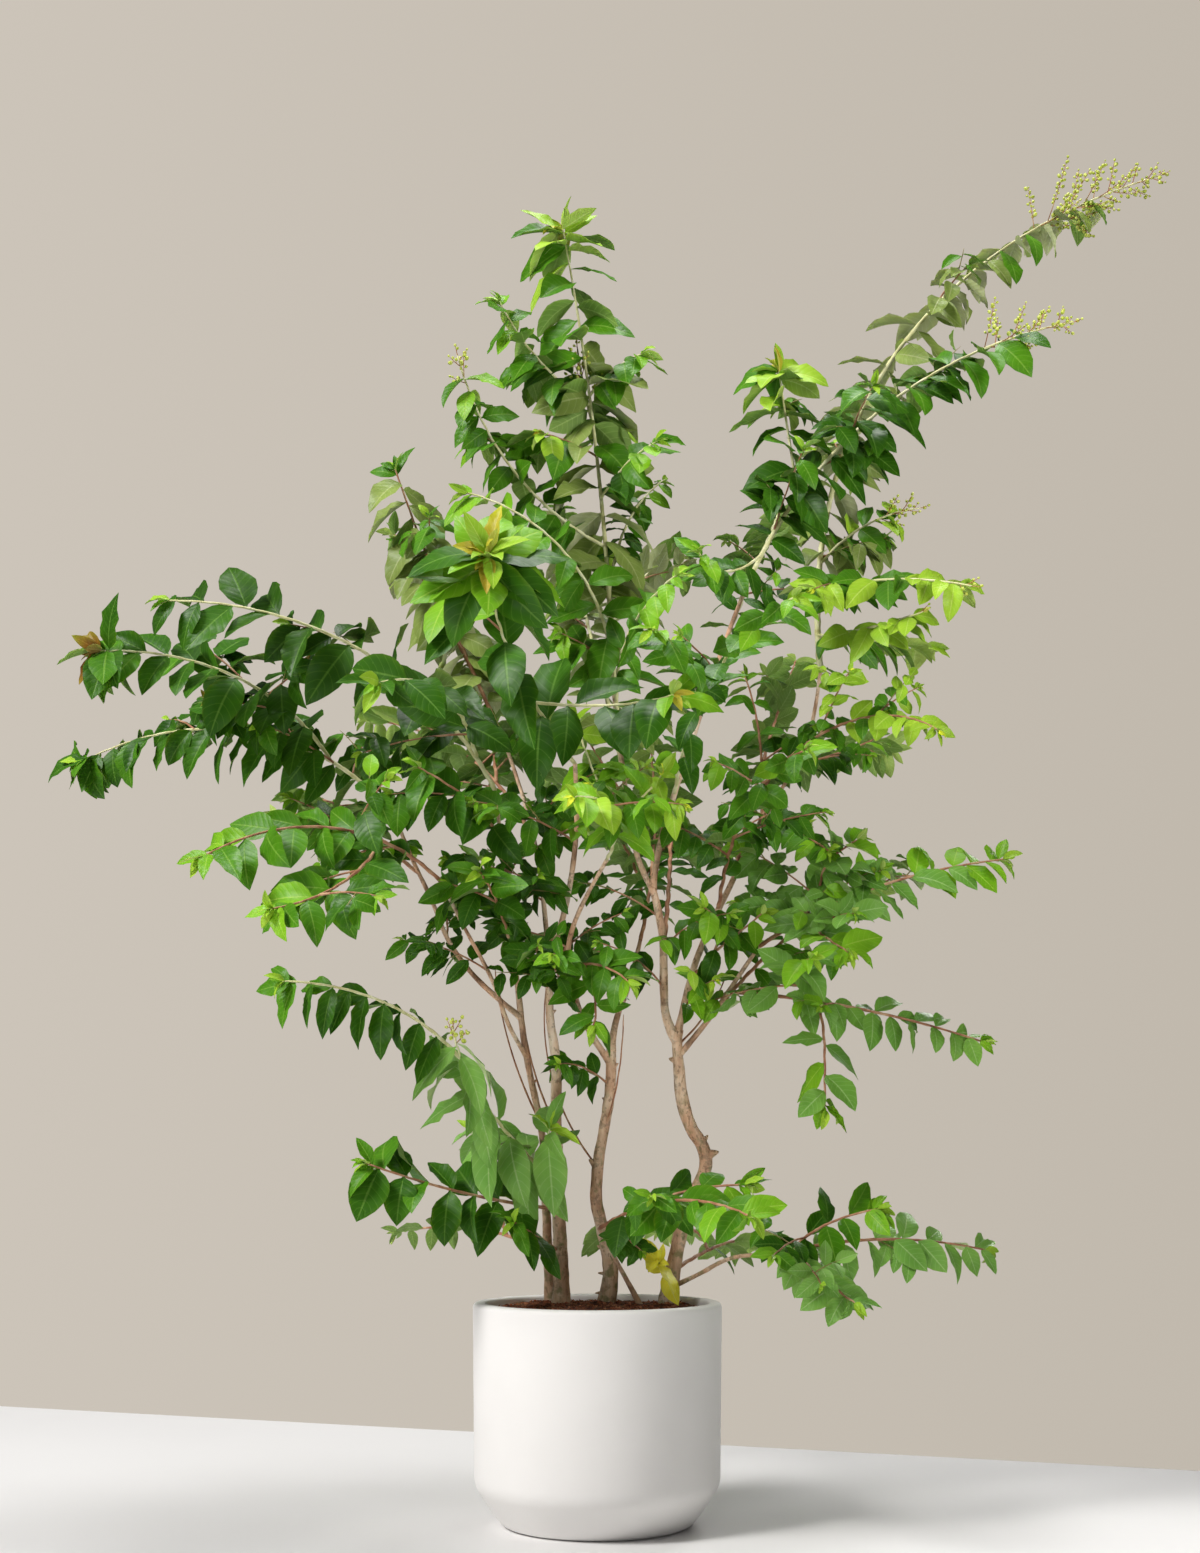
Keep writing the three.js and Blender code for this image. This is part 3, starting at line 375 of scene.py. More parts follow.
FINE_WOOD = Measures(base=0.8, thicken=0, tip=0.45, ring=9, sides=5, sway=0.4)
NODE_SWELL = 1.16  # how much thicker wood is at its nodes
WOOD_END = 0.6  # and how much thinner at its end
LEAST_RINGS = 3
SHORTER = Measures(  # where a shoot's wood ends: in mm below buds, by a leaf's length, and at most a share
    buds=4, leaves=0.42, most=0.5,
)
TWIGS = Measures(
    every=62, first=0.06, last=0.68, long=112, short=55, vary=(0.75, 1.25),
    fork=(35, 90), rise=(-20, 32), lift=-20, leaf=0.8, tuft=0.62,
)
FINE_TWIGS = Measures(
    every=40, first=0.12, last=0.8, long=52, short=34, vary=(0.7, 1.3),
    fork=(35, 80), rise=(-25, 35), lift=-15, leaf=0.62,
)
STEEPEST = 60
FOLLOW = 0.5  # the share of a shoot's rise, up to the steepest, that its side twigs keep
PAIRS = Measures(  # pairs of leaves along a line
    every=0.6, least=15, first=0.1, last=0.97, crowd=0.85, offset=0.16, spread=(38, 66), upright=34,
    droop=(-8, 40), turn=54, step=1.9, small=0.76, grow=1.2, fade=0.2, vary=(0.9, 1.25),
)
LOOSE = 0.2  # how far a leaf may sit round its twig from its place, in radians
ROSETTE = Measures(near=26, spread=(55, 96), droop=(10, 52), size=(0.78, 1.06))
HEART = Measures(  # young leaves amid a rosette
    share=0.8, near=9, spread=(16, 84), droop=(-16, 52), size=(0.36, 0.68), newest=3,
)
FACING = Measures(  # see facing()
    up=0.74, middle=150, near=60, wide=700, side=0.6, loose=0.36, flatter=0.8, high=1180, fade=150,
)
AGE = Measures(vary=0.22, youth=0.12, grown=0.45, new=0.86)  # where a spray's leaves are grown or new
TUFT = Measures(
    loose=0.3, open=(0.7, 1.2), vary=(0.85, 1.2), droop=(-8, 18),
    pairs=(  # length as a share of a leaf, spread, place behind the tip in mm, and tone
        (0.66, 50, 9, 2), (0.48, 36, 4, 4), (0.3, 20, 1, 3),
    ),
)
PANICLE = Measures(
    every=7, first=2, short=8, widen=0.34, swell=0.8, spread=(30, 66), vary=(0.75, 1.1), clear=0.5,
)
BRANCH = Measures(steps=5, lift=0.16, radii=(0.65, 0.32), sides=5, budding=0.75)
BUD = Measures(
    every=3.7, spread=55, stalk=2.8, stalk_radii=(0.4, 0.3), sides=4, radius=(1.3, 2.7),
    first=0.75, sunk=0.8, long=1.35,
)
ODD_WAY = (0.3, 0.8, 0.5)  # no bud points quite along it

# ---------- growth ----------


def direction(heading, rise):
    heading, rise = radians(heading), radians(rise)
    return np.array((cos(rise) * cos(heading), cos(rise) * sin(heading), sin(rise)))


def unit(vectors):
    return vectors / np.linalg.norm(vectors, axis=-1, keepdims=True)


class Line:
    """A line through points, read by the share of its length."""

    def __init__(self, points):
        self.points = np.array(points, float)
        steps = np.linalg.norm(np.diff(self.points, axis=0), axis=1)
        self.reached = np.concatenate(((0.0,), np.cumsum(steps)))
        self.length = self.reached[-1]

    def at(self, shares):
        places = np.asarray(shares) * self.length
        return np.stack([np.interp(places, self.reached, axis) for axis in self.points.T], axis=-1)

    def tangent(self, share):
        reach = TANGENT_REACH / self.length
        return unit(self.at(min(share + reach, 1)) - self.at(max(share - reach, 0)))


def bend(begin, corner, end, steps):
    """The points of a curve from begin to end that rounds a corner off."""
    share = np.arange(steps + 1)[:, None] / steps
    return (1 - share)**2 * begin + 2 * share * (1 - share) * corner + share**2 * end


def limb_line(start, legs):
    """The legs of a limb, walked from its start and rounded at each bend."""
    corners = [np.array(start, float)]
    for length, heading, rise in legs:
        corners.append(corners[-1] + length * direction(heading, rise))
    middles = [(here + ahead) / 2 for here, ahead in zip(corners, corners[1:])]
    ends = [corners[0], *middles[1:-1], corners[-1]]
    points = [corners[0]]
    for begin, corner, end in zip(ends, corners[1:], ends[1:]):
        points.extend(bend(begin, corner, end, BEND_STEPS)[1:])
    return Line(points)


def shoot_line(start, growth):
    """A shoot's line: its direction changes evenly from start to tip."""
    points = [np.array(start, float)]
    for step in range(WALK_STEPS):
        share = (step + 0.5) / WALK_STEPS
        course = direction(growth.heading + growth.turn * share, growth.rise + growth.lift * share)
        points.append(points[-1] + course * growth.length / WALK_STEPS)
    return Line(points)


def cut_short(growth, share):
    """The first share of a shoot's growth."""
    shorter = {key: getattr(growth, key) * share for key in ("length", "turn", "lift")}
    return growth._replace(**shorter)


def side_twigs(growth, rule, fill, random):
    """The side twigs of a shoot: shorter towards its tip, and spread to all sides."""
    first = max(rule.first, growth.bare)
    reach = rule.last - first
    count = floor(growth.length * reach * fill / rule.every)
    for number in range(count):
        share = first + reach * (number + random.random()) / count
        side = 1 if number % 2 else -1
        length = (rule.long + (rule.short - rule.long) * share) * random.uniform(*rule.vary)
        heading = growth.heading + side * random.uniform(*rule.fork)
        rise = min(growth.rise, STEEPEST) * FOLLOW + random.uniform(*rule.rise)
        yield Shoot(share, length, heading, rise, 0, rule.lift)

# ---------- meshes ----------


def angles_round(count):
    return np.arange(count) * 2 * pi / count


def tube_faces(rings, sides):
    """The faces between a tube's rings, and those that close its two ends."""
    side = np.arange(sides)
    beside = (side + 1) % sides
    ring = np.arange(rings - 1)[:, None] * sides
    quads = np.stack((ring + side, ring + beside, ring + beside + sides, ring + side + sides), axis=-1)
    foot = np.full(sides, rings * sides)
    top = (rings - 1) * sides
    start = np.stack((foot, beside, side), axis=1)
    end = np.stack((foot + 1, top + side, top + beside), axis=1)
    return quads.reshape(-1, 4), np.concatenate((start, end))


class Heap:
    """Points and faces gathered for one mesh."""

    def __init__(self):
        self.points = []
        self.faces = []
        self.count = 0

    def add(self, points, *faces):
        self.points.append(points)
        self.faces.extend(np.asarray(face) + self.count for face in faces)
        self.count += len(points)

    def add_rings(self, rings, ends):
        """A closed tube through rings of points, from the first end point to the last."""
        self.add(np.concatenate((rings.reshape(-1, 3), ends)), *tube_faces(*rings.shape[:2]))


def add_object(name, data):
    holder = bpy.data.objects.new(name, data)
    bpy.context.scene.collection.objects.link(holder)
    return holder


def make_piece(name, heap, materials, slot, nodes, face_materials=None, uv=None):
    """One smooth mesh from gathered points in millimetres, riding on the body in place of CAD nodes."""
    corners = np.concatenate([face.ravel() for face in heap.faces])
    sizes = np.concatenate([np.full(len(face), face.shape[1]) for face in heap.faces])
    points = np.concatenate(heap.points) * MM
    mesh = bpy.data.meshes.new(name)
    mesh.vertices.add(len(points))
    mesh.vertices.foreach_set("co", points.astype(np.float32).ravel())
    mesh.loops.add(len(corners))
    mesh.loops.foreach_set("vertex_index", corners.astype(np.int32))
    mesh.polygons.add(len(sizes))
    mesh.polygons.foreach_set("loop_start", (np.cumsum(sizes) - sizes).astype(np.int32))
    mesh.polygons.foreach_set("use_smooth", np.ones(len(sizes), bool))
    if face_materials is not None:
        mesh.polygons.foreach_set("material_index", face_materials.astype(np.int32))
    for material in materials:
        mesh.materials.append(material)
    mesh.update(calc_edges=True)
    if uv is not None:
        mesh.uv_layers.new(name="UVMap").uv.foreach_set("vector", uv[corners].astype(np.float32).ravel())
    piece = add_object(name, mesh)
    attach(piece, BODY)
    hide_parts(*nodes)


def frames_along(line, shares):
    """The centre of each ring of a tube, and the two directions across it."""
    centres = line.at(shares)
    tangents = unit(np.gradient(centres, axis=0))
    side = np.cross(tangents[0], UP if abs(tangents[0][2]) < UPRIGHT else ASIDE)
    across = []
    for tangent in tangents:
        side = unit(side - tangent * side.dot(tangent))
        across.append(side)
    return centres, np.array(across), np.cross(tangents, across)


def tube(heap, line, radii):
    """Adds a closed tube with a radius for each ring and side, and gives its rings."""
    centres, across, over = frames_along(line, np.linspace(0, 1, len(radii)))
    angles = angles_round(radii.shape[1])[:, None]
    spokes = across[:, None] * np.cos(angles) + over[:, None] * np.sin(angles)
    rings = centres[:, None] + spokes * radii[..., None]
    foot = centres[0] + (centres[0] - centres[1]) * CAPS.foot
    tip = centres[-1] + unit(centres[-1] - centres[-2]) * radii[-1].mean() * CAPS.tip
    heap.add_rings(rings, (foot, tip))
    return rings


def round_tube(heap, line, radii, sides):
    tube(heap, line, np.repeat(np.array(radii)[:, None], sides, axis=1))


def wood_tube(heap, line, wood, random):
    """A shoot or twig: a slim tube that sways a little from node to node and swells at each."""
    count = max(LEAST_RINGS, round(line.length / wood.ring))
    shares = np.linspace(0, 1, count + 1)
    base = wood.base + wood.thicken * line.length
    radii = base + (wood.tip - base) * shares
    radii[1:-1:2] *= NODE_SWELL
    radii[-1] *= WOOD_END
    level = np.cross(line.tangent(0.5), UP)
    sway = np.sin(np.arange(count + 1) * pi / 2 + random.uniform(0, pi)) * wood.sway
    sway[0] = 0
    round_tube(heap, Line(line.at(shares) + level * sway[:, None]), radii, wood.sides)

# ---------- leaves ----------

Leaf = namedtuple("Leaf", "root course face length width arch fold twist wave phase curl")

ROWS = np.array((0.0, 0.05, 0.11, 0.21, 0.33, 0.46, 0.6, 0.74, 0.88, 1.0))
COLUMNS = np.array((-1.0, -0.5, 0.0, 0.5, 1.0))
BLADE = Measures(start=0.04, rise=0.7, fall=1.0, stalk=0.65, thick=0.24, rib=0.5, waves=2.6)
# A leaf's width as a share of its length, and its bends in degrees.
GROWN = Measures(width=(0.22, 0.28), arch=(14, 66), fold=(4, 34))
YOUNG = Measures(width=(0.18, 0.23), arch=(8, 70), fold=(14, 42))
ANY_AGE = Measures(twist=(-32, 32), wave=(0.01, 0.04), curl=(0.02, 0.24))


def blade_profile():
    """A leaf's half width at each row, as a share of the widest."""
    shares = np.concatenate((ROWS - BLADE.start, np.linspace(0, 1 - BLADE.start, 200)))
    along = np.clip(shares / (1 - BLADE.start), 0, 1)
    shape = along ** BLADE.rise * (1 - along) ** BLADE.fall
    return shape[:len(ROWS)] / shape[len(ROWS):].max()


def leaf_faces():
    """The triangles of a leaf's upper and lower sheet, which face outward and mirror about the midrib."""
    width = len(COLUMNS)
    tip = (len(ROWS) - 1) * width
    first, second = [], []
    for here in range(tip - width):
        beside, ahead, across = here + 1, here + width, here + width + 1
        if here % width < width // 2:
            first.append((here, beside, across))
            second.append((here, across, ahead))
        elif beside % width:
            first.append((here, beside, ahead))
            second.append((beside, across, ahead))
    ends = [(edge, edge + 1, tip) for edge in range(tip - width, tip - 1)]
    sheet = np.array(first + second + ends)
    return sheet[:, ::-1], sheet + tip + 1


def sheet_points(grid):
    """The points of each leaf's sheet: whole rows, and the tip as one point."""
    rows = grid[:, :-1].reshape(len(grid), -1, grid.shape[-1])
    tip = grid[:, -1:, len(COLUMNS) // 2]
    return np.concatenate((rows, tip), axis=1)


def leaf_grids(leaves):
    """Upper and lower points of every leaf, row by row and column by column."""
    root, course, face = (np.array([getattr(leaf, key) for leaf in leaves]) for key in Leaf._fields[:3])
    numbers = np.array([leaf[3:] for leaf in leaves])
    length, width, arch, fold, twist, wave, phase, curl = numbers.T[:, :, None]
    root, course, face, row = (part[:, None] for part in (root, course, face, np.cross(face, course)))
    slope, turn = (arch * ROWS)[..., None], (twist * ROWS)[..., None]
    way = course * np.sin(slope) - face * (1 - np.cos(slope))
    spine = root + (length / arch)[..., None] * way
    normal = face * np.cos(slope) + course * np.sin(slope)
    side = row * np.cos(turn) + normal * np.sin(turn)
    normal = normal * np.cos(turn) - row * np.sin(turn)
    half = np.maximum(length * width * blade_profile(), BLADE.stalk)
    half[:, -1] = 0
    half, fold, curl = half[..., None], fold[..., None], curl[..., None]
    aside = np.abs(COLUMNS)
    across = COLUMNS * half * np.cos(fold)
    ripple = np.sin(2 * pi * BLADE.waves * ROWS + phase)[..., None] * np.sign(COLUMNS) * aside**2
    ripple = ripple * np.sin(pi * ROWS)[:, None] * (wave * length)[..., None]
    over = aside * half * np.sin(fold) - curl * half * aside**2 + ripple
    upper = spine[:, :, None] + side[:, :, None] * across[..., None] + normal[:, :, None] * over[..., None]
    depth = np.where(aside < 1, BLADE.thick, 0) + BLADE.rib * (aside == 0) * (1 - ROWS[:, None])
    depth[0] = 0
    return upper, upper - normal[:, :, None] * depth[..., None]


def leaf_heap(leaves):
    """All the leaves of one piece, with a texture place for each point and a material for each face."""
    points = np.concatenate([sheet_points(grid) for grid in leaf_grids(leaves)], axis=1)
    places = np.stack(np.meshgrid((COLUMNS + 1) / 2, ROWS), axis=-1)[None]
    places = np.tile(sheet_points(places)[0], (2 * len(leaves), 1))
    offsets = (np.arange(len(leaves)) * points.shape[1])[:, None, None]
    sheets = leaf_faces()
    heap = Heap()
    heap.add(points.reshape(-1, 3), *((sheet + offsets).reshape(-1, 3) for sheet in sheets))
    sides = np.repeat((0, 1), [len(leaves) * len(sheet) for sheet in sheets])
    return heap, sides, places


def facing(point):
    """The way that leaves turn: upward, and out from the middle of the crown, mostly to front or back."""
    aside = FACING.side * point[0] / np.hypot(point[0], FACING.wide)
    depth = point[1] - FACING.middle
    up = FACING.up + FACING.flatter * np.clip((point[2] - FACING.high) / FACING.fade, 0, 1)
    return unit(np.array((aside, depth / np.hypot(depth, FACING.near), up)))


def leaf_place(point, tangent, turned, spread, droop, length, young, random):
    """Where a leaf sits on its twig, its course, the side that it turns out, and its own bends."""
    wanted = facing(point)
    across = unit(wanted - tangent * wanted.dot(tangent))
    row = np.cross(across, tangent) * cos(turned) + across * sin(turned)
    course = unit(tangent * cos(spread) + row * sin(spread) - UP * sin(radians(droop)))
    face = wanted + np.array([random.gauss(0, FACING.loose) for _ in range(3)])
    face = unit(face - course * face.dot(course))
    age = YOUNG if young else GROWN
    return Leaf(
        point, course, face, length,
        random.uniform(*age.width),
        radians(random.uniform(*age.arch)),
        radians(random.uniform(*age.fold)),
        radians(random.uniform(*ANY_AGE.twist)),
        random.uniform(*ANY_AGE.wave),
        random.uniform(0, 2 * pi),
        random.uniform(*ANY_AGE.curl),
    )


leaves = defaultdict(list)  # by tone
leafy_masses = defaultdict(set)


def grow_leaf(tone, mass, *place):
    leaf = leaf_place(*place)
    leaves[tone].append(leaf._replace(width=leaf.width * mass.broad))
    leafy_masses[tone].add(mass.name)


def tones_of(mass):
    return LOOKS[mass.look].split()


def tone_at(mass, share, random):
    """A leaf's tone: older ones at the foot of a spray, younger ones towards its tip."""
    age = share + random.uniform(-AGE.vary, AGE.vary)
    return tones_of(mass)[0 if age < AGE.grown else 1 if age < AGE.new else 2]


def leaf_pairs(line, mass, size, random, first=PAIRS.first, last=PAIRS.last):
    """The leaves along a line, in pairs that sit a little apart."""
    every = max(mass.leaf * size * PAIRS.every / mass.close, PAIRS.least)
    count = max(1, round(line.length * (last - first) / every))
    youth = random.uniform(-AGE.youth, AGE.youth)
    for number in range(count):
        share = first + (last - first) * ((number + 0.5) / count) ** PAIRS.crowd
        grown = min(1, PAIRS.small + PAIRS.grow * share) * (1 - PAIRS.fade * share**4)
        for side in (1, -1):
            at = min(share + side * PAIRS.offset * random.random() / count, 1)
            tangent = line.tangent(at)
            turned = radians(PAIRS.turn) * sin(number * PAIRS.step) * tangent[2] ** 2
            turned += random.uniform(-LOOSE, LOOSE)
            spread = radians(random.uniform(*PAIRS.spread) + PAIRS.upright * abs(tangent[2])) * side
            length = mass.leaf * size * grown * random.uniform(*PAIRS.vary)
            droop = random.uniform(*PAIRS.droop) + mass.hang
            tone = tone_at(mass, share + youth, random)
            grow_leaf(tone, mass, line.at(at), tangent, turned, spread, droop, length, False, random)


def rosette(line, mass, count, random):
    """Large leaves close together round a strong shoot's tip, and young ones in their midst."""
    tones = tones_of(mass)
    for number in range(count + floor(count * HEART.share)):
        young = number >= count
        rule = HEART if young else ROSETTE
        share = 1 - rule.near * random.random() / line.length
        turned = radians(GOLDEN_ANGLE * number) + random.uniform(-LOOSE, LOOSE)
        spread = radians(random.uniform(*rule.spread))
        length = mass.leaf * random.uniform(*rule.size)
        droop = random.uniform(*rule.droop)
        newest = young and number % HEART.newest == 0
        tone = tones[4 if newest else 3 if young else 1 + number % 2]
        place = (line.at(share), line.tangent(share), turned, spread, droop, length)
        grow_leaf(tone, mass, *place, young, random)


def tuft(line, mass, size, random):
    """The young pairs that end a shoot or twig, half open."""
    for pair, (scale, spread, behind, tone) in enumerate(TUFT.pairs):
        share = 1 - min(behind * size / line.length, 0.5)
        for side in (1, -1):
            turned = radians(90 * pair) + random.uniform(-TUFT.loose, TUFT.loose)
            aside = radians(spread * random.uniform(*TUFT.open)) * side
            length = mass.leaf * size * scale * random.uniform(*TUFT.vary)
            droop = random.uniform(*TUFT.droop)
            place = (line.at(share), line.tangent(share), turned, aside, droop, length)
            grow_leaf(tones_of(mass)[tone], mass, *place, True, random)

# ---------- flower buds ----------

flower_stalks = Heap()
flower_buds = Heap()


def bud_shape():
    """A round bud with a pointed tip, as points and triangles round its own middle."""
    shape = bmesh.new()
    bmesh.ops.create_icosphere(shape, subdivisions=2, radius=1)
    points = np.array([vertex.co for vertex in shape.verts])
    triangles = np.array([[vertex.index for vertex in face.verts] for face in shape.faces])
    shape.free()
    points[:, 2] = np.where(points[:, 2] > 0, points[:, 2] * BUD.long, points[:, 2])
    return points, triangles


BUD_POINTS, BUD_TRIANGLES = bud_shape()


def add_bud(place, course, radius):
    level = unit(np.cross(course, ODD_WAY))
    axes = np.stack((level, np.cross(course, level), course))
    flower_buds.add(place + BUD_POINTS * radius @ axes, BUD_TRIANGLES)


def turned_from(tangent, angle, spread):
    """A direction that leaves a line at a spread, at an angle round it."""
    level = unit(np.cross(tangent, UP))
    row = level * cos(angle) + np.cross(level, tangent) * sin(angle)
    return unit(tangent * cos(spread) + row * sin(spread))


def flower_branch(start, course, length, random):
    """A side branch of a panicle, curved upward, with buds on short stalks."""
    steps = np.linspace(0, 1, BRANCH.steps)[:, None]
    line = Line(start + course * length * steps + UP * length * BRANCH.lift * steps**2)
    round_tube(flower_stalks, line, np.linspace(*BRANCH.radii, BRANCH.steps), BRANCH.sides)
    count = max(1, round(length / BUD.every))
    for number in range(count):
        share = 1 - BRANCH.budding * number / count
        spread = radians(BUD.spread) if number else 0
        aim = turned_from(line.tangent(share), radians(GOLDEN_ANGLE * number) + random.random(), spread)
        radius = random.uniform(*BUD.radius) * (1 if number else BUD.first)
        stalk = Line((line.at(share), line.at(share) + aim * BUD.stalk))
        round_tube(flower_stalks, stalk, BUD.stalk_radii, BUD.sides)
        add_bud(stalk.points[-1] + aim * radius * BUD.sunk, aim, radius)


def panicle(line, reach, random):
    """Side branches round the flowering end of a shoot, short at its tip and long below."""
    count = floor(reach / PANICLE.every)
    for number in range(count):
        share = 1 - (number * PANICLE.every + PANICLE.first) / line.length
        size = PANICLE.short + PANICLE.widen * reach * (number / count) ** PANICLE.swell
        spread = radians(random.uniform(*PANICLE.spread)) if number else 0
        course = turned_from(line.tangent(share), radians(GOLDEN_ANGLE * number), spread)
        flower_branch(line.at(share), course, size * random.uniform(*PANICLE.vary), random)

# ---------- limbs ----------

bark = Heap()
limbs = {}


def bark_tube(line, radii):
    """A tube of bark with its relief: long swellings, short lumps and fine ridges along the limb."""
    for ring, row in enumerate(tube(Heap(), line, radii)):
        for side, (x, y, z) in enumerate(row):
            relief = (noise.noise(Vector((x, y, z * flat)) / size) * height for size, flat, height in RELIEF)
            radii[ring, side] *= 1 + sum(relief)
    tube(bark, line, radii)


def grow_limb(limb):
    """A limb, flared and lobed at its foot or with a collar where it forks."""
    rooted = limb.at == 0
    start = (*limb.start, GROUND) if rooted else limbs[limb.start].at(limb.at)
    line = limb_line(start, limb.legs)
    limbs[limb.name] = line
    if rooted:
        line = Line(np.concatenate(([line.points[0] - UP * BARK.sunk], line.points)))
    shares = np.linspace(0, 1, round(line.length / BARK.ring) + 1)[:, None]
    reached = shares * line.length
    radii = limb.radii[0] + (limb.radii[1] - limb.radii[0]) * shares
    if rooted:
        near = np.exp(-reached / BARK.flare_height)
        turns = BARK.lobe_count * angles_round(BARK.sides) + limb.radii[0] * BARK.lobe_turn
        radii = radii * (1 + BARK.flare * near) * (1 + BARK.lobes * near * np.cos(turns))
    else:
        collar = BARK.collar * np.exp(-reached / (BARK.collar_length * limb.radii[0]))
        radii = np.repeat(radii * (1 + collar), BARK.sides, axis=1)
    bark_tube(line, radii)


def grow_spur(name, share, heading, rise, length, radius):
    """The stub of an old twig: a short cone with a ragged end."""
    start = limbs[name].at(share)
    line = Line((start, start + direction(heading, rise) * length))
    bark_tube(line, np.repeat(radius * np.array(SPUR.radii)[:, None], SPUR.sides, axis=1))


for limb in LIMBS:
    grow_limb(limb)
for spur in SPURS:
    grow_spur(*spur)

# ---------- foliage ----------

wood = defaultdict(Heap)  # twigs, by the colour of their bark


def grow_shoot(start, growth, mass, random):
    """A shoot with its side twigs, their finer twigs, and the leaves or flowers of them all."""
    mass = mass._replace(
        leaf=mass.leaf * growth.size, look=growth.look or mass.look, hang=mass.hang + growth.hang
    )
    tip = SHORTER.buds if growth.flowers else mass.leaf * SHORTER.leaves
    stalk = cut_short(growth, 1 - min(tip / growth.length, SHORTER.most))
    line = shoot_line(start, stalk)
    wood_tube(wood[mass.wood], line, SHOOT_WOOD, random)
    last = min(1 - PANICLE.clear * growth.flowers / stalk.length, PAIRS.last)
    leaf_pairs(line, mass, 1, random, max(PAIRS.first, growth.bare), last)
    if growth.flowers:
        panicle(line, growth.flowers, random)
    else:
        tuft(line, mass, 1, random)
        rosette(line, mass, growth.rosette, random)
    for twig in side_twigs(stalk, TWIGS, mass.fill * growth.fill, random):
        grow_twig(line.at(twig.at), twig, mass, random)
    return line


def grow_twig(start, twig, mass, random):
    """A side twig with its finer twigs, and the leaves of them all."""
    line = shoot_line(start, twig)
    wood_tube(wood["red"], line, TWIG_WOOD, random)
    leaf_pairs(line, mass, TWIGS.leaf, random)
    tuft(line, mass, TWIGS.tuft, random)
    for fine in side_twigs(twig, FINE_TWIGS, 1, random):
        fine_line = shoot_line(line.at(fine.at), fine)
        wood_tube(wood["green"], fine_line, FINE_WOOD, random)
        leaf_pairs(fine_line, mass, FINE_TWIGS.leaf, random)


def grow_mass(mass, random):
    """The shoots of a mass: its leader from the limb, and the others from the leader."""
    leader = limbs[mass.limb]
    for number, growth in enumerate(mass.shoots):
        line = grow_shoot(leader.at(growth.at), growth, mass, random)
        if number == 0:
            leader = line


for index, mass in enumerate(MASSES):
    grow_mass(mass, Random(SEED + index))
for index, (limb, leaf, look, growth) in enumerate(SPRIGS):
    sprig = Mass(MASSES[0].name, limb, leaf, look, "red", [])  # told as part of the first mass
    grow_twig(limbs[limb].at(growth.at), growth, sprig, Random(SEED - index))
bare = Random(SEED)
for name, growth in BARE_TWIGS:
    wood_tube(wood["red"], shoot_line(limbs[name].at(growth.at), growth), TWIG_WOOD, bare)

# ---------- shader nodes ----------


def paint(code):
    """A colour given as six hexadecimal digits of sRGB, as linear light."""
    parts = [int(code[place:place + 2], 16) / 255 for place in (0, 2, 4)]
    return (*(part / 12.92 if part < 0.04045 else ((part + 0.055) / 1.055) ** 2.4 for part in parts), 1)


def feed(node, inputs):
    """Sets a node's inputs to values, or links them to signals."""
    for key, value in inputs.items():
        if isinstance(value, Signal):
            node.id_data.links.new(value.socket, node.inputs[key])
        else:
            node.inputs[key].default_value = value


def add_node(tree, kind, inputs, output=0, **settings):
    """The signal that comes out of a new node."""
    node = tree.nodes.new("ShaderNode" + kind)
    for name, value in settings.items():
        setattr(node, name, value)
    feed(node, inputs)
    return Signal(node.outputs[output])


class Signal:
    """What comes out of a shader node. A sum with a signal is a node too."""

    def __init__(self, socket):
        self.socket = socket

    def then(self, kind, inputs, output=0, **settings):
        return add_node(self.socket.id_data, kind, inputs, output, **settings)

    def math(self, operation, *values):
        return self.then("Math", dict(enumerate(values)), operation=operation)

    def __add__(self, other):
        return self.math("ADD", self, other)

    def __sub__(self, other):
        return self.math("SUBTRACT", self, other)

    def __rsub__(self, other):
        return self.math("SUBTRACT", other, self)

    def __mul__(self, other):
        return self.math("MULTIPLY", self, other)

    def __pow__(self, other):
        return self.math("POWER", self, other)

    def __abs__(self):
        return self.math("ABSOLUTE", self)

    def part(self, axis):
        return self.then("SeparateXYZ", {0: self}, axis)

    def step(self, low, high):
        """0 below low and 1 above high, smooth between them."""
        inputs = {"Value": self, "From Min": low, "From Max": high}
        return self.then("MapRange", inputs, interpolation_type="SMOOTHSTEP")

    def ramp(self, *stops):
        """The colours of the stops, blended between their positions."""
        color = self.then("ValToRGB", {0: self})
        elements = color.socket.node.color_ramp.elements
        while len(elements) < len(stops):
            elements.new(0.5)
        for element, (position, code) in zip(elements, stops):
            element.position = position
            element.color = paint(code)
        return color

# ---------- materials ----------

# A stain covers where a noise is high.
Stain = namedtuple("Stain", "scale detail low high cover color stretch rough", defaults=("", 1, 0.5))

# A skin's colours follow a noise of (scale, detail), and its roughness one of (scale, detail, range, least).
# Each of its bumps is (scale, detail, height in metres, strength).
Skin = namedtuple("Skin", "shine mottle colors rough bumps stains", defaults=((),))
MOTTLE = (0.3, 0.7)  # where in the noise the first and the last colour are pure


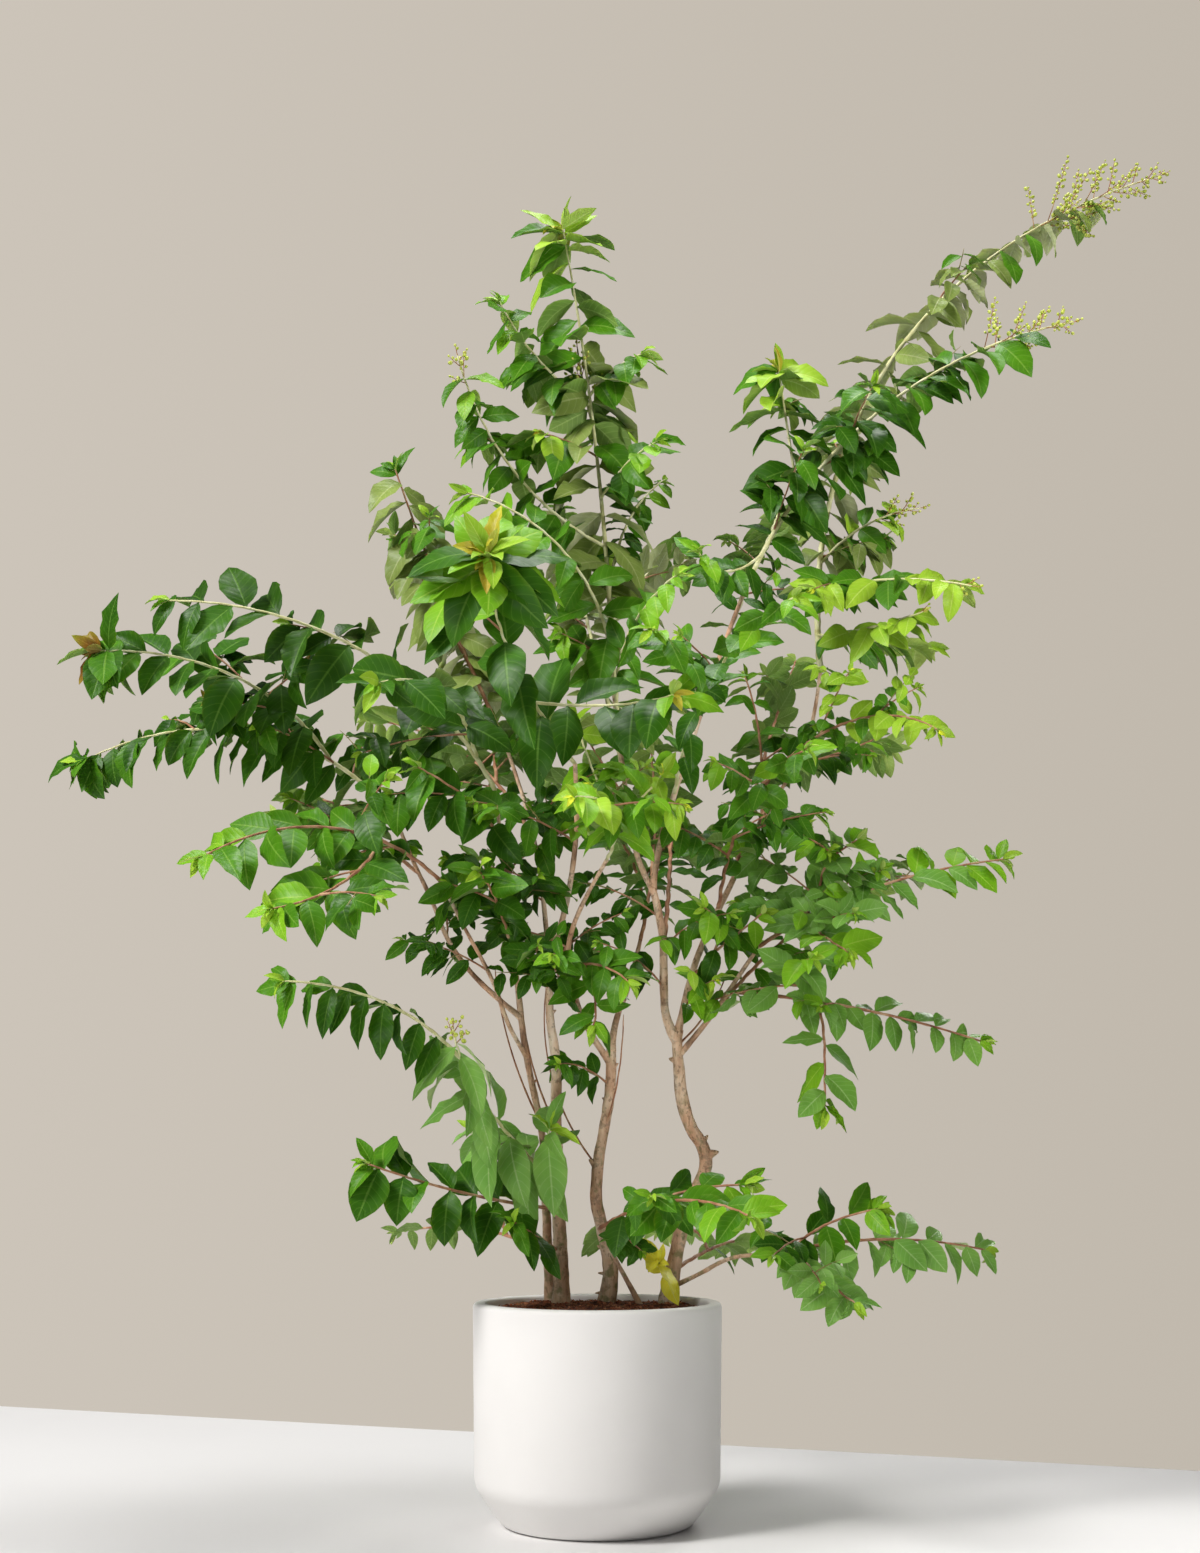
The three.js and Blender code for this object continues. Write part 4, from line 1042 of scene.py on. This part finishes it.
class Finish:
    """A procedural material: colours, stains over them, and bumps one on the other."""

    def __init__(self, name, shine, **inputs):
        self.material = bpy.data.materials.new(name)
        self.material.use_nodes = True
        self.tree = self.material.node_tree
        self.shader = self.tree.nodes["Principled BSDF"]
        self.normal = {}  # the bumps so far, as an input
        feed(self.shader, {"Specular IOR Level": shine, **inputs})

    def place(self, kind="Object"):
        return add_node(self.tree, "TexCoord", {}, kind)

    def noise(self, scale, detail, stretch=1, rough=0.5):
        place = self.place()
        if stretch != 1:
            place = place.then("Mapping", {"Vector": place, "Scale": (1, 1, stretch)})
        inputs = {"Vector": place, "Scale": scale, "Detail": detail, "Roughness": rough}
        return place.then("TexNoise", inputs)

    def mottle(self, scale, detail, colors):
        self.color = self.noise(scale, detail).ramp(*zip(np.linspace(*MOTTLE, len(colors)), colors))

    def coat(self, cover, color):
        """Lays a colour over those before it."""
        self.color = self.color.then("Mix", {0: cover, 6: self.color, 7: paint(color)}, 2, data_type="RGBA")

    def stain(self, stain):
        """Lays a stain on, and gives its places."""
        pattern = self.noise(stain.scale, stain.detail, stain.stretch, stain.rough)
        places = pattern.step(stain.low, stain.high)
        self.coat(places * stain.cover, stain.color)
        return places

    def bump(self, relief, height, strength):
        inputs = {"Height": relief, "Distance": height, "Strength": strength, **self.normal}
        self.normal = {"Normal": relief.then("Bump", inputs)}

    def uneven(self, scale, detail, reach, least):
        return self.noise(scale, detail) * reach + least

    def done(self, rough):
        feed(self.shader, {"Base Color": self.color, "Roughness": rough, **self.normal})
        return self.material


def plain_finish(name, skin):
    """The material of a skin."""
    finish = Finish(name, skin.shine)
    finish.mottle(*skin.mottle, skin.colors)
    for stain in skin.stains:
        finish.stain(stain)
    for scale, detail, height, strength in skin.bumps:
        finish.bump(finish.noise(scale, detail), height, strength)
    return finish.done(finish.uneven(*skin.rough))


def twig_finish(name, *colors):
    """The bark of a shoot or twig: mottled, with small pale dots."""
    dots = Stain(900, 1, 0.66, 0.74, 0.5, colors[-1])
    skin = Skin(0.35, (70, 3), colors, (200, 2, 0.2, 0.45), [(900, 3, 0.0003, 0.6)], [dots])
    return plain_finish(name, skin)


def soil_finish(name, *colors):
    return plain_finish(name, Skin(0.2, (170, 4), colors, (300, 2, 0.15, 0.8), [(700, 4, 0.0012, 0.8)]))


GLAZE = Skin(  # matt and white: almost even, with a very fine tooth
    0.35, (9, 3), ("f1efed", "f5f3f1"), (60, 3, 0.12, 0.52),
    [(1400, 3, 0.00015, 0.5), (14, 2, 0.0012, 0.25)], [Stain(700, 1, 0.74, 0.8, 0.12, "cfc9c4")],
)
BUD_SKIN = Skin(0.4, (260, 2), ("a4b63a", "c8d456", "e4e88e"), (400, 1, 0.2, 0.4), [(1500, 2, 0.0002, 0.5)])
FLOOR_PAINT = Skin(0.3, (3, 3), ("ecebea", "eeedec"), (1, 0, 0, 0.5), [(500, 3, 0.0002, 0.4)])

THROUGH = {  # light that passes through a leaf
    "Subsurface Weight": 0.15, "Subsurface Radius": (0.7, 1.0, 0.25), "Subsurface Scale": 0.001,
}
VEINS = Measures(pairs=8, slope=1.55, curve=1.25, midrib=(0.02, 0.085), vein=(0.02, 0.2), pillow=(0, 0.75))
UPPER = Measures(
    shine=0.18, mottle=(23, 2), rough=(90, 2, 0.2, 0.3), midrib=0.5, vein=0.2, grain=150, relief=0.0002,
)
UNDER = Measures(
    shine=0.3, mottle=(31, 2), rough=(120, 2, 0.2, 0.55), midrib=0.7, vein=0.4, grain=190, relief=0.0003,
)
SPOTS = Stain(210, 1, 0.72, 0.84, 0.3)
GRAIN = Measures(height=0.0003, strength=0.4)
VEIN_STRENGTH = 0.5
MIDRIB_DEPTH = 1.2  # of the midrib's groove, as a share of the pillows' height


def vein_lines(place):
    """How much a place on a leaf is midrib, how much it is side vein, and the pillows between the veins."""
    aside = abs(place.part(0) - 0.5) * 2
    along = place.part(1) * VEINS.pairs - aside ** VEINS.curve * VEINS.slope
    pillow = along.math("PINGPONG", along + 4, 0.5) * 2
    return 1 - aside.step(*VEINS.midrib), 1 - pillow.step(*VEINS.vein), pillow.step(*VEINS.pillow)


def leaf_finish(name, side, color, dark, pale):
    """One side of a leaf: glossy with sunken veins on top, and dull with raised ones below."""
    finish = Finish(name, side.shine, **THROUGH)
    midrib, vein, pillow = vein_lines(finish.place("UV"))
    finish.mottle(*side.mottle, (dark, color))
    if side is UPPER:
        finish.stain(SPOTS._replace(color=pale))
    finish.coat(midrib * side.midrib + vein * side.vein, pale)
    finish.bump(finish.noise(side.grain, 1), GRAIN.height, GRAIN.strength)
    relief = pillow - midrib * MIDRIB_DEPTH if side is UPPER else midrib - pillow
    finish.bump(relief, side.relief, VEIN_STRENGTH)
    return finish.done(finish.uneven(*side.rough))


PLATES = ((0.32, "8e6c54"), (0.43, "cca486"), (0.55, "e8c8a8"), (0.68, "f4e2cc"))
STREAKS = Stain(420, 3, 0.4, 0.72, 0.26, "9b7456", 0.12)
BLUSH = Stain(30, 2, 0.5, 0.66, 0.5, "dca680", 0.4)
SCARS = Stain(64, 5, 0.55, 0.62, 0.45, "8c7763", 1.6, 0.62)
FLECKS = Stain(230, 4, 0.56, 0.66, 0.55, "76553e", 0.7)
# Lichen fades out with height, and so does a grey-brown that darkens the foot, from full to none, in metres.
LICHEN = Measures(color="76804f", cover=0.7, full=0.25, none=0.62, patches=(0.5, 0.64))
FOOT = Measures(color="7c6e50", cover=0.3, full=0.235, none=0.32)


def bark_finish():
    """Smooth peeling bark: tan, pink-grey and pale plates, fine streaks, and green lichen low down."""
    finish = Finish("bark", 0.25)
    plates = finish.noise(48, 4, stretch=0.35, rough=0.6)
    finish.color = plates.ramp(*PLATES)
    streaks, *_ = [finish.stain(stain) for stain in (STREAKS, BLUSH, SCARS, FLECKS)]
    height = finish.place().part(2)
    lichen = finish.noise(95, 4).step(*LICHEN.patches)
    finish.coat(lichen * (1 - height.step(LICHEN.full, LICHEN.none)) * LICHEN.cover, LICHEN.color)
    finish.coat((1 - height.step(FOOT.full, FOOT.none)) * FOOT.cover, FOOT.color)
    finish.bump(finish.noise(240, 5, stretch=0.3), height=0.0015, strength=0.7)
    finish.bump(plates, height=0.004, strength=0.6)
    return finish.done(streaks * 0.2 + 0.62)

# ---------- the pot and its soil ----------

POT_PROFILE = [  # each corner's radius, height and rounding, from the base's middle to the floor's
    (0, 0, 0), (103, 0, 7), (116, 15, 9), (136, 43, 10), (140, 237, 6), (125, 237, 4.5), (121, 43, 10),
    (101, 16, 8), (0, 16, 0),
]
POT_SEGMENTS = 160
ROUND_STEPS = 6
SOIL = Measures(
    rings=46, segments=150, top=228.6, most=236, under=206, inset=1, crown=2.6,
    mound=3.2, mound_width=20, lumps=((21, 3.4), (6, 2.38), (2.2, 0.8)),  # size and height
)
STEMS = [limb for limb in LIMBS if limb.at == 0]
CHIPS = Measures(
    count=2600, long=(1.2, 4.2), wide=(0.3, 0.8), thick=(0.15, 0.45), vary=(0.7, 1.25), tilt=24, clear=4,
)
FIBRES = Measures(
    count=90, long=(9, 24), rise=22, turn=(-90, 90), lift=-50, clear=2, steps=6, radii=(0.4, 0.2), sides=4,
)


def rounded(profile):
    """A profile's points, with its corners rounded off."""
    corners = [np.array(corner[:2], float) for corner in profile]
    points = [corners[0]]
    for before, here, after, (*_, reach) in zip(corners, corners[1:], corners[2:], profile[1:]):
        begin = here + unit(before - here) * reach
        points.extend(bend(begin, here, here + unit(after - here) * reach, ROUND_STEPS))
    return np.array([*points, corners[-1]])


def turned_on_lathe(profile, segments):
    """The rings that a profile's points sweep round the upright axis, and its two ends, on the axis."""
    angles = angles_round(segments)
    radii, heights = profile[1:-1].T[..., None]
    parts = np.broadcast_arrays(radii * np.cos(angles), radii * np.sin(angles), heights)
    return np.stack(parts, axis=-1), np.array([(0, 0, profile[0][1]), (0, 0, profile[-1][1])], float)


def soil_height(x, y):
    """The soil's relief: crumbs, a low crown, and a little mound at the foot of each stem."""
    place = Vector((x, y, 0))
    height = SOIL.top + SOIL.crown * (1 - (x * x + y * y) / POT_INSIDE**2)
    for size, relief in SOIL.lumps:
        height += noise.noise(place / size) * relief
    for stem in STEMS:
        away = (x - stem.start[0])**2 + (y - stem.start[1])**2
        height += SOIL.mound * exp(-away / SOIL.mound_width**2)
    return min(height, SOIL.most)


def soil_heap():
    """The bed of soil: a flat underside, and rings that follow the soil's height."""
    radii = np.linspace(POT_INSIDE, POT_INSIDE / SOIL.rings, SOIL.rings)
    under = [(0, SOIL.under), (POT_INSIDE - SOIL.inset, SOIL.under)]
    profile = np.array([*under, *((radius, 0) for radius in radii), (0, 0)])
    rings, ends = turned_on_lathe(profile, SOIL.segments)
    for point in (*rings[1:].reshape(-1, 3), ends[1]):
        point[2] = soil_height(*point[:2])
    heap = Heap()
    heap.add_rings(rings, ends)
    return heap


CHIP_POINTS = np.array(((1, 0, 0), (0, 1, 0), (-1, 0, 0), (0, -1, 0), (0, 0, 1), (0, 0, -1)), float)
CHIP_TRIANGLES = np.array((
    (0, 1, 4), (1, 2, 4), (2, 3, 4), (3, 0, 4), (1, 0, 5), (2, 1, 5), (3, 2, 5), (0, 3, 5),
))


def soil_place(random):
    reach = (POT_INSIDE - CHIPS.clear) * random.random()**0.5
    angle = random.uniform(0, 2 * pi)
    x, y = reach * cos(angle), reach * sin(angle)
    return np.array((x, y, soil_height(x, y)))


def chip_heap(random):
    """Crumbs and flakes of bark mulch that lie on the soil at all angles."""
    heap = Heap()
    for _ in range(CHIPS.count):
        size = random.uniform(*CHIPS.long)
        shape = CHIP_POINTS * size * (1, random.uniform(*CHIPS.wide), random.uniform(*CHIPS.thick))
        shape = shape * np.array([[random.uniform(*CHIPS.vary)] for _ in CHIP_POINTS])
        course = direction(random.uniform(0, 360), random.gauss(0, CHIPS.tilt))
        level = unit(np.cross(course, UP))
        axes = np.stack((course, level, np.cross(course, level)))
        heap.add(soil_place(random) + shape @ axes, CHIP_TRIANGLES)
    return heap


def fibre_heap(random):
    """Fine roots and straws between the crumbs."""
    heap = Heap()
    radii = np.linspace(*FIBRES.radii, FIBRES.steps)
    for _ in range(FIBRES.count):
        length, heading = random.uniform(*FIBRES.long), random.uniform(0, 360)
        growth = Shoot(0, length, heading, FIBRES.rise, random.uniform(*FIBRES.turn), FIBRES.lift)
        line = shoot_line(soil_place(random), growth)
        if np.linalg.norm(line.points[-1][:2]) < POT_INSIDE - FIBRES.clear:
            round_tube(heap, line, radii, FIBRES.sides)
    return heap

# ---------- pieces ----------


def make_pot():
    heap = Heap()
    heap.add_rings(*turned_on_lathe(rounded(POT_PROFILE), POT_SEGMENTS))
    make_piece("pot_body", heap, [plain_finish("pot_glaze", GLAZE)], "pot", ["pot"])


def make_soil():
    random = Random(SEED)
    base = soil_finish("soil_base", "3a2016", "5c3624", "7c4e36")
    chips = soil_finish("soil_chips", "5e3422", "94573c", "c88a66")
    straw = soil_finish("soil_straw", "6b4630", "8e6546", "b08a63")
    make_piece("soil_bed", soil_heap(), [base], "soil", ["soil"])
    make_piece("soil_crumbs", chip_heap(random), [chips], "soil", ["soil"])
    make_piece("soil_fibres", fibre_heap(random), [straw], "soil", ["soil"])


def solids(names):
    """The CAD nodes of masses."""
    return [f"foliage_{name}" for name in names]


def make_wood():
    make_piece("bark_relief", bark, [bark_finish()], "bark", [limb.name for limb in LIMBS])
    for name, heap in wood.items():
        finish = twig_finish(f"twig_{name}", *TWIG_COLORS[name])
        slot = "bark" if name == "red" else "leaves"
        make_piece(f"twigs_{name}", heap, [finish], slot, solids(mass.name for mass in MASSES))


def make_flowers():
    flowering = solids(mass.name for mass in MASSES if any(shoot.flowers for shoot in mass.shoots))
    stalk = twig_finish("twig_flower_stalk", *TWIG_COLORS["flower_stalk"])
    make_piece("flower_stalks", flower_stalks, [stalk], "leaves", flowering)
    make_piece("flower_buds", flower_buds, [plain_finish("flower_bud", BUD_SKIN)], "young_leaves", flowering)


def make_leaves():
    for tone, grown in leaves.items():
        upper, under, slot = TONES[tone]
        top = leaf_finish(f"leaf_{tone}", UPPER, *upper.split())
        below = leaf_finish(f"leaf_{tone}_under", UNDER, *under.split())
        parts = -(-len(grown) // MOST_LEAVES)
        for part in range(parts):
            heap, sides, places = leaf_heap(grown[part::parts])
            nodes = solids(sorted(leafy_masses[tone]))
            make_piece(f"leaves_{tone}_{part + 1}", heap, [top, below], slot, nodes, sides, places)


make_pot()
make_soil()
make_wood()
make_flowers()
make_leaves()

# ---------- floor, light and camera ----------

FLOOR = Measures(turn=-20.8, far=0.665, near=-2.6, half_width=2.9, thick=0.03)
FLOOR_FACES = [(0, 1, 2, 3), (7, 6, 5, 4), (0, 4, 5, 1), (1, 5, 6, 2), (2, 6, 7, 3), (3, 7, 4, 0)]
# the room's wall is paler to the left as painted light
ROOM = Measures(left="cdc5ba", right="c0b8ac", reach=0.35, light="f3f0f1", strength=0.08)
SPOT = Measures(radius=0.4, blend=0.9)
CAMERA = Measures(lens=44.04, clip_end=60, place=(0.003, -2.216, 0.39), tilt=101.5)


def make_floor():
    """A pale table top, turned a little, whose far edge runs behind the pot."""
    turn = radians(FLOOR.turn)
    along = np.array((cos(turn), sin(turn), 0)) * FLOOR.half_width
    back = np.array((-sin(turn), cos(turn), 0)) * (FLOOR.far - FLOOR.near)
    middle = np.array((0, FLOOR.far, 0))
    top = [middle - along - back, middle + along - back, middle + along, middle - along]
    mesh = bpy.data.meshes.new("floor")
    mesh.from_pydata([*top, *(corner - UP * FLOOR.thick for corner in top)], [], FLOOR_FACES)
    mesh.materials.append(plain_finish("floor_paint", FLOOR_PAINT))
    add_object("floor", mesh)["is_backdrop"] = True


def make_world():
    """A beige room behind, paler to the left as painted light, and a dimmer, even light from all round."""
    world = bpy.data.worlds.new("room")
    world.use_nodes = True
    tree = world.node_tree
    tree.nodes.clear()
    aside = add_node(tree, "TexCoord", {}, "Generated").part(0)
    shift = aside.then("MapRange", {"Value": aside, "From Min": -ROOM.reach, "From Max": ROOM.reach})
    # painted light: the wall seen behind is paler to the left, the side the key lamp lights from
    wall = shift.ramp((0, ROOM.left), (1, ROOM.right))
    room = add_node(tree, "Background", {"Color": wall})
    ambient = add_node(tree, "Background", {"Color": paint(ROOM.light), "Strength": ROOM.strength})
    seen = add_node(tree, "LightPath", {}, "Is Camera Ray")
    light = add_node(tree, "MixShader", {0: seen, 1: ambient, 2: room})
    feed(tree.nodes.new("ShaderNodeOutputWorld"), {0: light})
    bpy.context.scene.world = world


def make_light(name, kind, place, aim, size, power, color):
    """A round lamp as wide as its size, or a soft-edged spot whose cone has that angle."""
    lamp = bpy.data.lights.new(name, kind)
    if kind == "AREA":
        lamp.shape = "DISK"
        lamp.size = size
    else:
        lamp.shadow_soft_size = SPOT.radius
        lamp.spot_size = radians(size)
        lamp.spot_blend = SPOT.blend
    lamp.energy = power
    lamp.color = paint(color)[:3]
    holder = add_object(name, lamp)
    holder.location = place
    holder.rotation_euler = (Vector(aim) - Vector(place)).to_track_quat("-Z", "Y").to_euler()


def make_camera():
    camera = bpy.data.cameras.new("camera")
    camera.lens = CAMERA.lens
    camera.clip_end = CAMERA.clip_end
    holder = add_object("camera", camera)
    holder.location = CAMERA.place
    holder.rotation_euler = (radians(CAMERA.tilt), 0, 0)
    bpy.context.scene.camera = holder


make_floor()
make_world()
make_light("key", "AREA", (-3.8, -2.4, 4.6), (0, 0, 0.8), 1.8, 345, "fffdfb")
make_light("top", "AREA", (0.4, 0.3, 5.5), (0.2, 0, 0), 2.4, 165, "fffefd")
make_light("right", "SPOT", (1.9, -1.8, 1.35), (0.3, 0, 1.25), 44, 140, "fffdfb")
make_light("stems", "SPOT", (-1.1, -2.4, 0.75), (0.02, 0, 0.6), 24, 68, "fffdfb")
make_light("floor", "SPOT", (0.9, 1.3, 1.2), (0.33, -0.14, 0), 31, 66, "fffdfb")
make_camera()
bpy.context.scene.view_settings.view_transform = "Standard"

visual_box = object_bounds()
boxes = {"cad": cad_box, "visual": visual_box}
{name: [list(corner) for corner in box] for name, box in boxes.items()}
